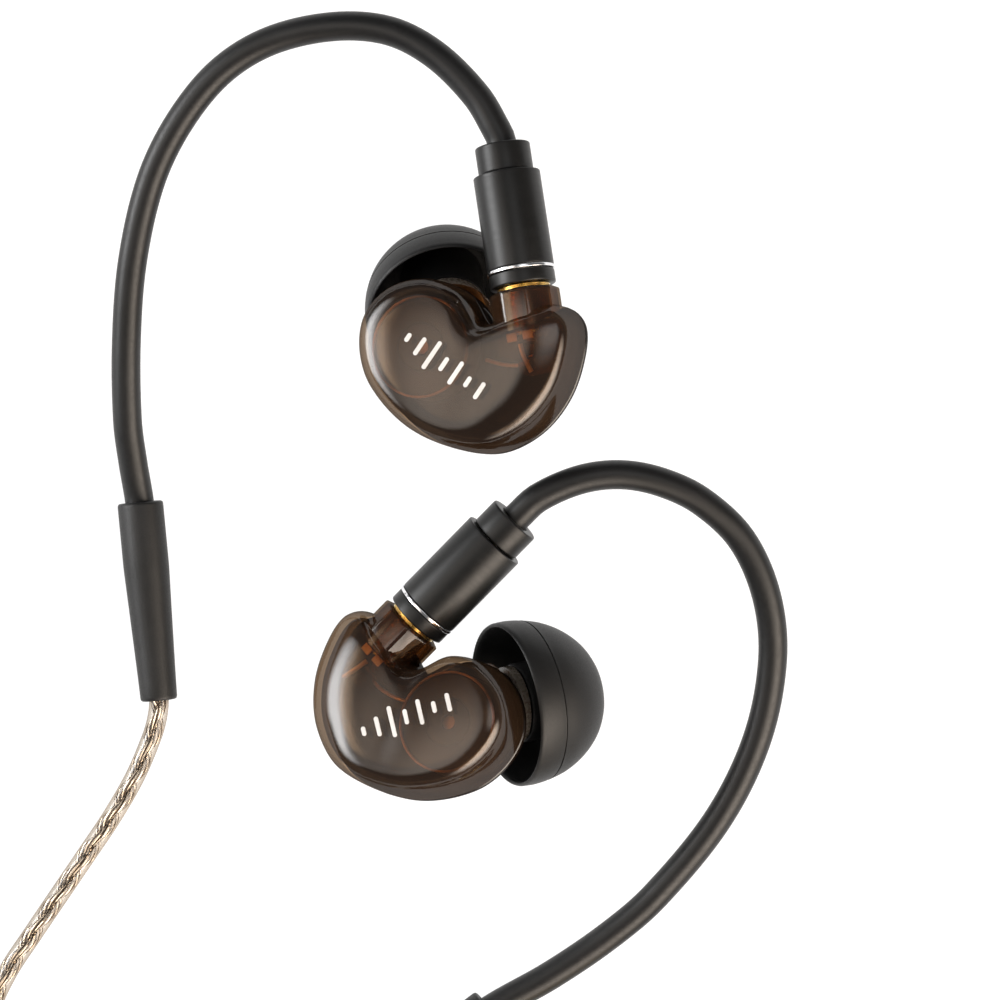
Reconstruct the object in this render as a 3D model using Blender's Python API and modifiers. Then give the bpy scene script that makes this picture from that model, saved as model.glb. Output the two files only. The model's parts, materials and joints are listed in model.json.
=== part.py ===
"""In-ear monitors: two shells on one detachable, memory-hook cable, laid flat on a table.

Each earphone is drawn in its own frame, in millimetres: u runs towards the round lobe,
v along the barrel towards the cable, and w out of the faceplate. The origin is the foot
of the barrel, on its axis. The left earphone keeps u as it is and the right mirrors it.
"""
import math

import bmesh
import bpy
from mathutils import Matrix, Vector

MM = 0.001

# The whole set is drawn around SET_CENTRE, which becomes the origin on the table.
SET_CENTRE = Vector((-4.287, -6.846, 0.0))

# Gap between pieces that fit in each other, in mm.
FIT = 0.1

# Barrel and connector: positions along v, radii about the barrel axis.
COLLAR_TOP = 1.12
RING_TOP = 1.42
BARREL_TOP = 9.45
TOP_COLLAR_TOP = 11.9
END_COLLAR_R = 2.72
RING_R = 2.76
BARREL_R = 2.77
TOP_COLLAR_R = 2.28
BARREL_BORE_R = 1.65
NECK_R = 2.85
NECK_TOP = -0.42
NECK_FOOT = -3.4
SOCKET_R = 1.8

# Shells: depths along w.
FACE_W = 3.5
SPLIT_W = -1.5
BACK_W = -5.0
WALL = 0.6

# Nozzle and ear tip: the rim's centre and the direction that the tip points in.
RIM_CENTRE = Vector((8.83, -0.06, -5.54))
TIP_AXIS = Vector((0.288, 0.675, -0.679)).normalized()
NOZZLE_R = 2.55
NOZZLE_BORE_R = 1.8
NOZZLE_TOP = 4.0

# Driver, centred behind the lobe.
DRIVER_CENTRE = Vector((9.1, -3.4, 0.0))
DRIVER_R = 4.25

# Hooks and cords.
HOOK_R = 1.22
HOOK_WALL = 0.55
CORE_R = 0.35
CABLE_R = 0.825
MAIN_R = 0.95
SLEEVE_LENGTH = 16.8
SLEEVE_TOP_R = 1.93
SLEEVE_FOOT_R = 1.55

# Coils: centre on the table, mean radius, turns in a layer and layers.
COILS = {
    "right": {"centre": (-32.8, -56.0), "mean": 8.7, "turns": 3, "layers": 2, "wire": CABLE_R},
    "left": {"centre": (-6.5, -69.0), "mean": 9.9, "turns": 3, "layers": 2, "wire": CABLE_R},
    "main": {"centre": (22.5, -66.0), "mean": 10.45, "turns": 3, "layers": 4, "wire": MAIN_R},
}

# The faceplate's outline, (u, v) round from the notch beside the neck.
OUTLINE = [
    (3.6, -2.5), (5.2, 0.6), (7.7, 2.15), (10.9, 2.0), (13.4, 0.2), (14.35, -2.6),
    (13.9, -5.9), (11.5, -9.6), (8.3, -11.9), (4.6, -12.95), (0.9, -12.0), (-2.0, -9.6),
    (-3.8, -6.3), (-4.2, -3.8), (-3.0, -2.2), (0.0, -2.2),
]
OUTLINE_POINTS = 34
OUTLINE_CENTRE = Vector((5.6, -5.2))

# Each side's pose: foot of the barrel, barrel direction, roll of the face, mirror sign.
SIDES = {
    "right": {"foot": (1.92, 17.5, 16.21), "barrel": (-0.1466, 0.979, -0.139), "roll": -20.0,
              "sign": -1},
    "left": {"foot": (-7.0, -10.0, 8.8), "barrel": (0.693, 0.707, 0.139), "roll": 24.0,
             "sign": 1},
}

# Hook routes after the top collar, down to the sleeve.
HOOKS = {
    "right": [(-0.25, 30.4, 14.5), (-1.96, 33.3, 14.15), (-5.4, 36.75, 13.5), (-9.2, 38.75, 12.8),
              (-13.9, 39.15, 11.85), (-19.2, 38.0, 10.7), (-23.3, 35.5, 9.8), (-26.7, 31.4, 8.9),
              (-29.1, 26.6, 7.9), (-30.7, 20.0, 6.6), (-31.3, 13.3, 5.2), (-31.3, 6.7, 3.7),
              (-30.9, 3.2, 2.8), (-30.4, 0.0, 2.05)],
    "left": [(3.2, 0.2, 10.8), (6.67, 1.7, 11.1), (10.0, 2.1, 11.1), (13.3, 1.5, 10.85),
             (16.7, -0.1, 10.3), (20.1, -3.3, 9.3), (22.2, -8.0, 8.3), (22.75, -13.3, 7.2),
             (21.5, -20.0, 6.0), (18.3, -26.7, 4.8), (13.0, -33.3, 3.6), (9.1, -36.7, 3.0),
             (4.3, -40.0, 2.5), (-0.6, -42.8, 2.05)],
}
SLEEVES = {
    "right": {"top": (-30.33, -0.17, 2.07), "along": (0.094, -0.995, -0.022)},
    "left": {"top": (-0.9, -42.97, 2.07), "along": (-0.80, -0.60, -0.022)},
}

# Free cords between the pieces on them, by hand: each lies on the table, z = 0.
CABLE_ROUTES = {
    "right": [(-28.95, -18.5, 1.45), (-29.4, -20.0, 1.1),
              (-30.8, -23.3, 0.9), (-32.75, -26.7, 0.86), (-34.96, -30.0, 0.86),
              (-37.2, -33.3, 0.86), (-39.5, -36.7, 0.86), (-41.6, -39.9, 0.86),
              (-43.2, -43.4, 0.86), (-43.95, -46.6, 0.86), (-43.98, -48.9, 0.86)],
    "left": [(-15.8, -54.3, 1.4), (-17.2, -56.1, 0.95),
             (-18.35, -58.6, 0.86), (-18.85, -61.6, 0.86)],
}
TWIN_Y = {"right": -85.6, "left": -83.8}
TWIN_Z = 1.5
TAIL_ROUTES = {
    "right": [(-39.0, -67.6, 1.9), (-36.4, -70.0, 1.3), (-32.0, -74.6, 0.9),
              (-26.0, -79.6, 0.86), (-19.0, -83.4, 0.86), (-12.0, -85.3, 1.1),
              (-5.0, TWIN_Y["right"], TWIN_Z), (4.0, TWIN_Y["right"], TWIN_Z),
              (14.0, TWIN_Y["right"], TWIN_Z)],
    "left": [(-13.2, -81.6, 2.0), (-11.0, -82.9, 1.75), (-8.5, -83.7, 1.6),
             (-5.0, TWIN_Y["left"], TWIN_Z), (4.0, TWIN_Y["left"], TWIN_Z),
             (14.0, TWIN_Y["left"], TWIN_Z)],
}
MAIN_ROUTE = [(24.75, -84.7, 1.5), (26.4, -84.7, 1.3), (29.4, -83.9, 1.0), (32.4, -81.6, 0.98),
              (34.6, -78.0, 0.98), (35.65, -73.6, 0.98)]
MAIN_TAIL_ROUTE = [(36.1, -58.6, 6.0), (36.55, -55.0, 5.2), (36.3, -51.6, 4.2),
                   (34.8, -48.6, 3.3), (32.6, -47.0, 3.0), (31.15, -46.8, 3.0)]
# Points along each cord's way to its coil, and from it.
ROUTE_POINTS = {"right": (20, 20), "left": (9, 12), "main": (7, 8)}

# Slider, splitter and 3.5 mm plug: positions along x.
SLIDER_X = (7.9, 13.9)
SLIDER_SIZE = (6.0, 5.3, 3.0)
SPLITTER_X = (14.3, 24.3)
SPLITTER_SIZE = (10.0, 4.6, 3.0)
PLUG_END_X = 30.7
PLUG_Y = -46.8
PLUG_Z = 3.0
JACK_R = 1.75


def clear_scene():
    """Empty the scene, so that the script can be run again."""
    for thing in list(bpy.data.objects):
        bpy.data.objects.remove(thing, do_unlink=True)


def new_collection(name):
    group = bpy.data.collections.get(name) or bpy.data.collections.new(name)
    if group.name not in bpy.context.scene.collection.children:
        bpy.context.scene.collection.children.link(group)
    return group


def finish(name, colour, roughness, metallic=0.0):
    """A Principled material of one colour."""
    made = bpy.data.materials.get(name) or bpy.data.materials.new(name)
    made.use_nodes = True
    shader = made.node_tree.nodes["Principled BSDF"]
    shader.inputs["Base Color"].default_value = (*colour, 1.0)
    shader.inputs["Roughness"].default_value = roughness
    shader.inputs["Metallic"].default_value = metallic
    return made


clear_scene()
PARTS = new_collection("in_ear_monitors")
CUTTERS = new_collection("cutters")
SHELL = finish("smoke_shell", (0.10, 0.08, 0.06), 0.12)
BLACK_METAL = finish("black_anodised", (0.02, 0.02, 0.022), 0.42, 0.6)
SILVER = finish("polished_steel", (0.80, 0.80, 0.82), 0.12, 1.0)
GOLD = finish("gold_plate", (0.83, 0.60, 0.25), 0.2, 1.0)
COPPER = finish("copper", (0.80, 0.36, 0.18), 0.3, 1.0)
SILICONE = finish("black_silicone", (0.015, 0.015, 0.016), 0.5)
RUBBER = finish("black_hook", (0.012, 0.012, 0.013), 0.45)
JACKET = finish("clear_jacket", (0.62, 0.57, 0.50), 0.2)
FILM = finish("diaphragm_film", (0.62, 0.58, 0.50), 0.35)
MESH = finish("steel_mesh", (0.45, 0.45, 0.46), 0.4, 1.0)


def on_table(point):
    """A point of the laid-out set, in millimetres, as a place in the part's frame."""
    return (Vector(point) - SET_CENTRE) * MM


def place(thing, material, parent=None, group=PARTS):
    """Link an object, give it its material and its parent."""
    group.objects.link(thing)
    if thing.type in {"MESH", "CURVE"} and material:
        thing.data.materials.append(material)
    thing.parent = parent
    if group is CUTTERS:
        thing.hide_render = True
        thing.display_type = "WIRE"
    return thing


def smooth_path(points, count, closed=False):
    """Points along a smooth curve through the given ones, evenly spaced by chord."""
    knots = [Vector(p) for p in points]
    total = len(knots)
    spans = total if closed else total - 1
    lengths = [(knots[(i + 1) % total] - knots[i]).length for i in range(spans)]

    def slope(i):
        before, after = (i - 1, i) if closed else (max(i - 1, 0), min(i, spans - 1))
        start = knots[before % total]
        end = knots[(after + 1) % total]
        return (end - start) / (lengths[before % spans] + lengths[after % spans]
                                if before != after else lengths[after])

    def at(distance):
        i = 0
        while i < spans - 1 and distance > lengths[i]:
            distance -= lengths[i]
            i += 1
        t = min(distance / lengths[i], 1.0)
        h00, h10 = 2 * t**3 - 3 * t**2 + 1, t**3 - 2 * t**2 + t
        h01, h11 = 3 * t**2 - 2 * t**3, t**3 - t**2
        return (knots[i] * h00 + slope(i) * lengths[i] * h10
                + knots[(i + 1) % total] * h01 + slope((i + 1) % total) * lengths[i] * h11)

    steps = count if closed else count - 1
    return [at(sum(lengths) * i / steps) for i in range(count)]


def turned(name, profile, material, parent=None, at=(0, 0, 0), axis=(0, 0, 1), steps=14,
           group=PARTS):
    """A turned piece: (radius, height) points in mm about an axis, closed into a loop
    unless the profile starts and ends on the axis."""
    points = list(profile)
    area = sum(a[0] * b[1] - b[0] * a[1] for a, b in zip(points, points[1:] + points[:1]))
    if area > 0:
        points.reverse()
    on_axis = min(points[0][0], points[-1][0]) < 1e-6
    if not on_axis:
        points.append(points[0])
    count = len(points) if on_axis else len(points) - 1
    edges = [(i, (i + 1) % count) for i in range(len(points) - 1)]
    mesh = bpy.data.meshes.new(name)
    mesh.from_pydata([(r * MM, 0.0, h * MM) for r, h in points[:count]], edges, [])
    thing = bpy.data.objects.new(name, mesh)
    screw = thing.modifiers.new("turn", "SCREW")
    screw.steps = steps
    screw.render_steps = steps
    screw.use_merge_vertices = True
    screw.merge_threshold = 0.000002
    screw.use_smooth_shade = False
    thing.location = Vector(at) * MM
    thing.rotation_mode = "QUATERNION"
    thing.rotation_quaternion = Vector(axis).to_track_quat("Z", "Y")
    return place(thing, material, parent, group)


def lofted(name, rings, material, parent=None, group=PARTS):
    """A closed solid through rings of equally many points, in mm, capped at both ends."""
    mesh = bpy.data.meshes.new(name)
    build = bmesh.new()
    loops = [[build.verts.new(Vector(p) * MM) for p in ring] for ring in rings]
    count = len(rings[0])
    for low, high in zip(loops, loops[1:]):
        for i in range(count):
            j = (i + 1) % count
            build.faces.new((low[i], low[j], high[j], high[i]))
    build.faces.new(loops[0])
    build.faces.new(loops[-1])
    bmesh.ops.recalc_face_normals(build, faces=build.faces)
    build.to_mesh(mesh)
    build.free()
    return place(bpy.data.objects.new(name, mesh), material, parent, group)


def tube(name, points, radius, material, parent=None, wall=0.0, sides=2):
    """A cord or a wire through points in metres: a curve with round section, solid or
    with a wall thickness."""
    curve = bpy.data.curves.new(name, "CURVE")
    curve.dimensions = "3D"
    curve.bevel_depth = radius * MM
    curve.bevel_resolution = sides
    curve.use_fill_caps = wall == 0.0
    spline = curve.splines.new("POLY")
    spline.points.add(len(points) - 1)
    for knot, point in zip(spline.points, points):
        knot.co = (*point, 1.0)
    thing = bpy.data.objects.new(name, curve)
    if wall:
        shell = thing.modifiers.new("wall", "SOLIDIFY")
        shell.thickness = wall * MM
        shell.offset = -1.0
    return place(thing, material, parent)


def laid(points, count):
    """A smooth path through points of the laid-out set, in metres."""
    return [on_table(point) for point in smooth_path(points, count)]


def boolean(thing, other, operation):
    change = thing.modifiers.new(operation.lower(), "BOOLEAN")
    change.operation = operation
    change.object = other
    change.solver = "EXACT"


def rounded_block(name, centre, size, radius, material):
    """A box with rounded edges, centred on a point of the laid-out set."""
    mesh = bpy.data.meshes.new(name)
    build = bmesh.new()
    bmesh.ops.create_cube(build, size=1.0)
    bmesh.ops.scale(build, vec=Vector(size) * MM, verts=build.verts)
    build.to_mesh(mesh)
    build.free()
    thing = bpy.data.objects.new(name, mesh)
    thing.location = on_table(centre)
    bevel = thing.modifiers.new("round", "BEVEL")
    bevel.width = radius * MM
    bevel.segments = 2
    return place(thing, material)


def side_frame(side):
    """The empty at the foot of a barrel, which carries that side's pieces."""
    data = SIDES[side]
    along = Vector(data["barrel"]).normalized()
    up = (Vector((0, 0, 1)) - along * along.z).normalized()
    lobe = up.cross(along) if data["sign"] < 0 else along.cross(up)
    turn = math.radians(data["roll"])
    towards_lobe = lobe * math.cos(turn) + up * math.sin(turn)
    face = up * math.cos(turn) - lobe * math.sin(turn)
    rotation = Matrix((towards_lobe * data["sign"], along, face)).transposed()
    empty = bpy.data.objects.new(side + "_frame", None)
    PARTS.objects.link(empty)
    empty.matrix_world = Matrix.Translation(on_table(data["foot"])) @ rotation.to_4x4()
    return empty


def mirrored(point, sign):
    return Vector((point[0] * sign, point[1], point[2]))


def outline_ring(sign, w, inset=0.0, scale=1.0):
    """The outline at depth w, moved in by a distance and scaled about its middle."""
    loop = smooth_path(OUTLINE, OUTLINE_POINTS, closed=True)
    ring = []
    for i, point in enumerate(loop):
        run = loop[(i + 1) % OUTLINE_POINTS] - loop[i - 1]
        inward = Vector((run.y, -run.x)).normalized()
        moved = point + inward * inset
        moved = OUTLINE_CENTRE + (moved - OUTLINE_CENTRE) * scale
        ring.append((moved.x * sign, moved.y, w))
    return ring


def make_shells(side, frame):
    """The faceplate half with its neck, and the ear half with its nozzle."""
    sign = SIDES[side]["sign"]
    rows = [(SPLIT_W, 0.0), (1.4, 0.08), (2.5, 0.35), (3.0, 0.8), (FACE_W, 2.0)]
    outer = lofted(side + "_outer_shell", [outline_ring(sign, w, d) for w, d in rows], SHELL,
                   frame)
    neck = turned(side + "_neck_form", [(0, NECK_TOP), (NECK_R, NECK_TOP), (NECK_R, NECK_FOOT),
                                        (0, NECK_FOOT)], None, frame, axis=(0, 1, 0),
                  group=CUTTERS)
    rows = [(SPLIT_W - 1.0, WALL), (1.4, WALL + 0.05), (2.1, 1.0), (2.5, 1.4),
            (FACE_W - WALL, 2.4)]
    cavity = lofted(side + "_outer_cavity", [outline_ring(sign, w, d) for w, d in rows], None,
                    frame, CUTTERS)
    bore = turned(side + "_socket_bore", [(0, 1), (SOCKET_R + FIT, 1), (SOCKET_R + FIT, -5),
                                          (0, -5)], None, frame, axis=(0, 1, 0), group=CUTTERS)
    boolean(outer, cavity, "DIFFERENCE")
    boolean(outer, neck, "UNION")
    boolean(outer, bore, "DIFFERENCE")

    rows = [(SPLIT_W - FIT, 1.0), (-2.6, 0.97), (-3.7, 0.86), (-4.5, 0.66), (BACK_W, 0.38)]
    inner = lofted(side + "_inner_shell", [outline_ring(sign, w, 0, k) for w, k in rows], SHELL,
                   frame)
    rows = [(SPLIT_W + 1.0, 1.0), (-2.3, 0.97), (-3.2, 0.86), (-3.9, 0.63), (-4.3, 0.4)]
    hollow = lofted(side + "_inner_cavity",
                    [outline_ring(sign, w, WALL, k) for w, k in rows], None, frame, CUTTERS)
    centre = mirrored(RIM_CENTRE, sign)
    axis = mirrored(TIP_AXIS, sign)
    spout = turned(side + "_nozzle_form", [(0, NOZZLE_TOP), (NOZZLE_R, NOZZLE_TOP),
                                           (NOZZLE_R, -3.2), (0, -3.2)], None, frame, centre,
                   axis, group=CUTTERS)
    way = turned(side + "_nozzle_bore", [(0, 6), (NOZZLE_BORE_R, 6), (NOZZLE_BORE_R, -4.0),
                                         (0, -4.0)], None, frame, centre, axis, group=CUTTERS)
    neck_room = turned(side + "_neck_room", [(0, 1), (NECK_R + FIT, 1), (NECK_R + FIT, -5),
                                             (0, -5)], None, frame, axis=(0, 1, 0),
                       group=CUTTERS)
    boolean(inner, spout, "UNION")
    boolean(inner, hollow, "DIFFERENCE")
    boolean(inner, way, "DIFFERENCE")
    boolean(inner, neck_room, "DIFFERENCE")


def make_ear_tip(side, frame):
    """A soft dome on a stem that grips the nozzle, and the guard mesh in the nozzle."""
    sign = SIDES[side]["sign"]
    centre = mirrored(RIM_CENTRE, sign)
    axis = mirrored(TIP_AXIS, sign)
    profile = [(6.9, 0.0), (6.85, 1.6), (6.45, 3.5), (5.65, 5.2), (4.5, 6.6), (3.2, 7.6),
               (2.4, 7.85), (1.95, 7.5), (1.95, 4.6), (2.72, 4.4), (2.72, 1.0), (3.35, 1.0),
               (3.35, 5.5), (3.9, 6.05), (4.9, 5.3), (5.7, 4.1), (6.2, 2.7), (6.5, 1.3),
               (6.55, 0.0)]
    turned(side + "_ear_tip", profile, SILICONE, frame, centre, axis, steps=20)
    disc = [(0, 3.7), (NOZZLE_BORE_R - FIT, 3.7), (NOZZLE_BORE_R - FIT, 3.45), (0, 3.45)]
    turned(side + "_nozzle_mesh", disc, MESH, frame, centre, axis, steps=16)


def make_driver(side, frame):
    """The dynamic driver: basket, magnet, coil, diaphragm and the copper ring over it."""
    centre = mirrored(DRIVER_CENTRE, SIDES[side]["sign"])
    wall = DRIVER_R - 0.35
    basket = [(DRIVER_R, 1.4), (DRIVER_R, -1.3), (wall, -1.3), (wall, 1.0), (0.8, 1.0),
              (0.8, 1.4)]
    turned(side + "_driver_basket", basket, BLACK_METAL, frame, centre, steps=24)
    magnet = [(0, 0.88), (2.3, 0.88), (2.3, -0.3), (0, -0.3)]
    turned(side + "_magnet", magnet, SILVER, frame, centre)
    coil = [(2.65, 0.3), (2.65, -0.98), (2.45, -0.98), (2.45, 0.3)]
    turned(side + "_voice_coil", coil, COPPER, frame, centre)
    film = [(0, -0.75), (1.6, -0.95), (2.55, -1.15), (3.0, -0.9), (3.55, -1.1), (3.55, -1.2),
            (3.0, -1.0), (2.55, -1.25), (1.6, -1.05), (0, -0.85)]
    turned(side + "_diaphragm", film, FILM, frame, centre)
    edge = DRIVER_R - 0.4
    ring = [(DRIVER_R, 1.7), (DRIVER_R, 1.45), (edge, 1.45), (edge, 1.7)]
    turned(side + "_driver_ring", ring, COPPER, frame, centre, steps=24)


def make_connector(side, frame):
    """Coaxial socket in the neck, and the plug, snap ring and pin on the cable."""
    barrel_axis = (0, 1, 0)
    socket = [(SOCKET_R, -0.55), (SOCKET_R, -4.2), (0.7, -4.2), (0.7, -3.6), (1.32, -3.6),
              (1.32, -0.55)]
    turned(side + "_socket", socket, GOLD, frame, axis=barrel_axis)
    contact = [(0, -3.4), (0.28, -3.4), (0.28, -2.2), (0.5, -2.2), (0.5, -4.6), (0, -4.6)]
    turned(side + "_socket_contact", contact, GOLD, frame, axis=barrel_axis, steps=12)
    plug = [(0.75, 3.0), (1.5, 3.0), (1.5, -0.04), (2.2, -0.04), (2.2, -0.35), (1.12, -0.35),
            (1.12, -1.05), (0.9, -1.05), (0.9, -1.5), (1.12, -1.5), (1.12, -2.0), (0.75, -2.0)]
    turned(side + "_connector_plug", plug, GOLD, frame, axis=barrel_axis)
    snap = [(1.22, -1.12), (1.22, -1.42), (1.0, -1.42), (1.0, -1.12)]
    turned(side + "_snap_ring", snap, SILVER, frame, axis=barrel_axis)
    pin = [(0, -3.2), (0.18, -3.2), (0.18, -0.2), (0.45, -0.2), (0.45, 2.6), (0, 2.6)]
    turned(side + "_plug_pin", pin, GOLD, frame, axis=barrel_axis, steps=12)


def make_barrel(side, frame):
    """End collar, bright ring, barrel and the narrower collar that the hook leaves by."""
    barrel_axis = (0, 1, 0)
    bore = BARREL_BORE_R
    end = [(END_COLLAR_R, COLLAR_TOP), (END_COLLAR_R, 0.12), (END_COLLAR_R - 0.12, 0.0),
           (bore, 0.0), (bore, COLLAR_TOP)]
    turned(side + "_end_collar", end, BLACK_METAL, frame, axis=barrel_axis, steps=24)
    ring = [(RING_R, RING_TOP), (RING_R, COLLAR_TOP + 0.04), (bore, COLLAR_TOP + 0.04),
            (bore, RING_TOP)]
    turned(side + "_accent_ring", ring, SILVER, frame, axis=barrel_axis, steps=24)
    foot = RING_TOP + 0.04
    body = [(bore, BARREL_TOP), (BARREL_R - 0.1, BARREL_TOP), (BARREL_R, BARREL_TOP - 0.1),
            (BARREL_R, foot), (bore, foot)]
    turned(side + "_barrel", body, BLACK_METAL, frame, axis=barrel_axis, steps=24)
    hook_bore = HOOK_R + 0.2
    collar = [(TOP_COLLAR_R, BARREL_TOP + 0.05), (TOP_COLLAR_R, TOP_COLLAR_TOP - 0.15),
              (TOP_COLLAR_R - 0.15, TOP_COLLAR_TOP), (hook_bore, TOP_COLLAR_TOP),
              (hook_bore, BARREL_TOP + 0.05)]
    turned(side + "_top_collar", collar, BLACK_METAL, frame, axis=barrel_axis, steps=24)


def make_lead_wire(side, frame):
    """The lead from the driver's edge to the socket's contact."""
    sign = SIDES[side]["sign"]
    knots = [(0.0, -4.9, 0.0), (0.3, -5.6, -0.3), (1.3, -6.2, -0.6), (2.9, -5.9, -0.8),
             (4.4, -5.2, -0.7)]
    bend = smooth_path([mirrored(p, sign) * MM for p in knots], 9)
    tube(side + "_lead_wire", bend, 0.16, COPPER, frame, sides=0)


def make_hook(side, frame):
    """The formed hook tube from the top collar to the sleeve, and the core inside it."""
    foot = Vector(SIDES[side]["foot"])
    along = Vector(SIDES[side]["barrel"]).normalized()
    sleeve = SLEEVES[side]
    down = Vector(sleeve["along"]).normalized()
    top = Vector(sleeve["top"])
    start = foot + along * (BARREL_TOP + 0.25)
    root = foot + along * (TOP_COLLAR_TOP + 0.4)
    knots = [start, root] + [Vector(p) for p in HOOKS[side]] + [top + down * 3.0]
    tube(side + "_ear_hook", laid(knots, 24), HOOK_R, RUBBER, wall=HOOK_WALL)
    knots[0] = foot + along * 3.6
    knots[-1] = top + down * 5.0
    tube(side + "_hook_core", laid(knots, 24), CORE_R, COPPER, sides=0)


def make_sleeve(side):
    """The tapered sleeve that joins the hook to the free cable."""
    wide = HOOK_R + 0.2
    narrow = 0.95
    length = SLEEVE_LENGTH
    profile = [(SLEEVE_TOP_R - 0.3, 0.0), (SLEEVE_TOP_R, 0.4), (SLEEVE_TOP_R, 6.0),
               (SLEEVE_FOOT_R + 0.05, length - 2.0), (SLEEVE_FOOT_R, length - 0.4),
               (SLEEVE_FOOT_R - 0.25, length), (narrow, length), (narrow, 6.0), (wide, 5.4),
               (wide, 0.0)]
    thing = turned(side + "_sleeve", profile, RUBBER, axis=SLEEVES[side]["along"])
    thing.location = on_table(SLEEVES[side]["top"])


def make_coil(name, data):
    """The outer shape of a round coil of cord: a turned ring."""
    wide = data["wire"] * data["turns"] + data["wire"]
    outer = data["mean"] + wide
    inner = data["mean"] - wide
    height = 2 * data["wire"] * data["layers"] + 0.06
    profile = [(outer, height), (outer, 0.0), (inner, 0.0), (inner, height)]
    thing = turned(name, profile, JACKET, steps=28)
    thing.location = on_table((*data["centre"], 0.0))


def make_cords():
    """Both side cables, their coils and tails, and the main cable with its coil."""
    for side in SIDES:
        counts = ROUTE_POINTS[side]
        top = Vector(SLEEVES[side]["top"])
        down = Vector(SLEEVES[side]["along"]).normalized()
        inside = [top + down * (SLEEVE_LENGTH - depth) for depth in (3.0, 1.5, 0.0)]
        tube(side + "_cable", laid([*inside, *CABLE_ROUTES[side]], counts[0]), CABLE_R, JACKET)
        make_coil(side + "_cable_coil", COILS[side])
        tube(side + "_cable_tail", laid(TAIL_ROUTES[side], counts[1]), CABLE_R, JACKET)
    counts = ROUTE_POINTS["main"]
    tube("main_cable", laid(MAIN_ROUTE, counts[0]), MAIN_R, JACKET)
    make_coil("main_cable_coil", COILS["main"])
    tube("main_cable_tail", laid(MAIN_TAIL_ROUTE, counts[1]), MAIN_R, JACKET)


def make_slider_and_splitter():
    """The slider that draws the two side cables together, and the splitter under it."""
    middle = (TWIN_Y["left"] + TWIN_Y["right"]) / 2
    slider = rounded_block("cable_slider", (sum(SLIDER_X) / 2, middle, TWIN_Z), SLIDER_SIZE,
                           0.45, BLACK_METAL)
    for side, y in TWIN_Y.items():
        bore = turned(side + "_slider_bore", [(0, 5), (CABLE_R + 0.12, 5), (CABLE_R + 0.12, -5),
                                              (0, -5)], None, axis=(1, 0, 0), steps=12,
                      group=CUTTERS)
        bore.location = on_table((sum(SLIDER_X) / 2, y, TWIN_Z))
        boolean(slider, bore, "DIFFERENCE")
    rounded_block("y_splitter", (sum(SPLITTER_X) / 2, middle, TWIN_Z), SPLITTER_SIZE, 0.6,
                  BLACK_METAL)


def make_plug():
    """The straight 3.5 mm plug: relief, barrel, sleeve, ring and tip contacts."""
    at = on_table((PLUG_END_X, PLUG_Y, PLUG_Z)) / MM

    def part(name, profile, material, steps=20):
        turned(name, profile, material, at=at, axis=(-1, 0, 0), steps=steps)

    part("plug_relief", [(0, 0), (1.3, 0), (1.8, 4.0), (1.8, 4.5), (0, 4.5)], RUBBER, 16)
    mouth = JACK_R + 0.15
    barrel = [(0, 5.4), (1.5, 5.4), (1.5, 14.3), (mouth, 14.3), (mouth, 14.8), (2.8, 14.8),
              (3.0, 14.6), (3.0, 4.9), (2.7, 4.6), (0, 4.6)]
    part("plug_barrel", barrel, BLACK_METAL, 24)
    sleeve = [(1.4, 6.0), (1.4, 14.5), (JACK_R, 14.5), (JACK_R, 22.0), (1.0, 22.0), (1.0, 6.0)]
    part("jack_sleeve", sleeve, GOLD)
    ring = [(0.85, 6.4), (0.85, 22.3), (JACK_R, 22.3), (JACK_R, 24.6), (0.6, 24.6), (0.6, 6.4)]
    part("jack_ring", ring, GOLD)
    tip = [(0, 6.8), (0.45, 6.8), (0.45, 24.9), (JACK_R, 24.9), (JACK_R, 25.6), (1.2, 26.5),
           (1.72, 27.4), (0.7, 28.7), (0, 28.9)]
    part("jack_tip", tip, GOLD)


def main():
    for side in SIDES:
        frame = side_frame(side)
        make_shells(side, frame)
        make_ear_tip(side, frame)
        make_driver(side, frame)
        make_connector(side, frame)
        make_barrel(side, frame)
        make_lead_wire(side, frame)
        make_hook(side, frame)
        make_sleeve(side)
    make_cords()
    make_slider_and_splitter()
    make_plug()


main()
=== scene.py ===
import json
import math

import bmesh
import bpy
import numpy as np
from mathutils import Matrix, Vector


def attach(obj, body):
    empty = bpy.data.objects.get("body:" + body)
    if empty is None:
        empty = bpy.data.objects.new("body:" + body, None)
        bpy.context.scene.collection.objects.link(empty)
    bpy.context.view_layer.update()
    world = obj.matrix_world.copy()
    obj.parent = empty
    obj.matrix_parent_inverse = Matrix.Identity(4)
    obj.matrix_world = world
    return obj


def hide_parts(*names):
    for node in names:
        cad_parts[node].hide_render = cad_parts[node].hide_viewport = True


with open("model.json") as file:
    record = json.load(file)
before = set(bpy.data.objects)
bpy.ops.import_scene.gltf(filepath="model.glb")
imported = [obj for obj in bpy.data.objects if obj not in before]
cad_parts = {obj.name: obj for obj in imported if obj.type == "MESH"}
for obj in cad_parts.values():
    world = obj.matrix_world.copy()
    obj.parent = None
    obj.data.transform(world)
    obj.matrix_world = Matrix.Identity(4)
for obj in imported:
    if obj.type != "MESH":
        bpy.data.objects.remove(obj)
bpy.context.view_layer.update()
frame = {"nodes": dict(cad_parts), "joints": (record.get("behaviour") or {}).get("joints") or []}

# In-ear monitors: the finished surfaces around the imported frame. Lengths here are in
# millimetres and each earphone is drawn in its own frame: u towards the round lobe, v along
# the barrel towards the cable, w out of the faceplate, origin at the barrel's foot.

MM = 0.001
JOINTS = {joint["name"]: joint for joint in frame["joints"]}
SIGNS = {"right": -1, "left": 1}

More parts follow.
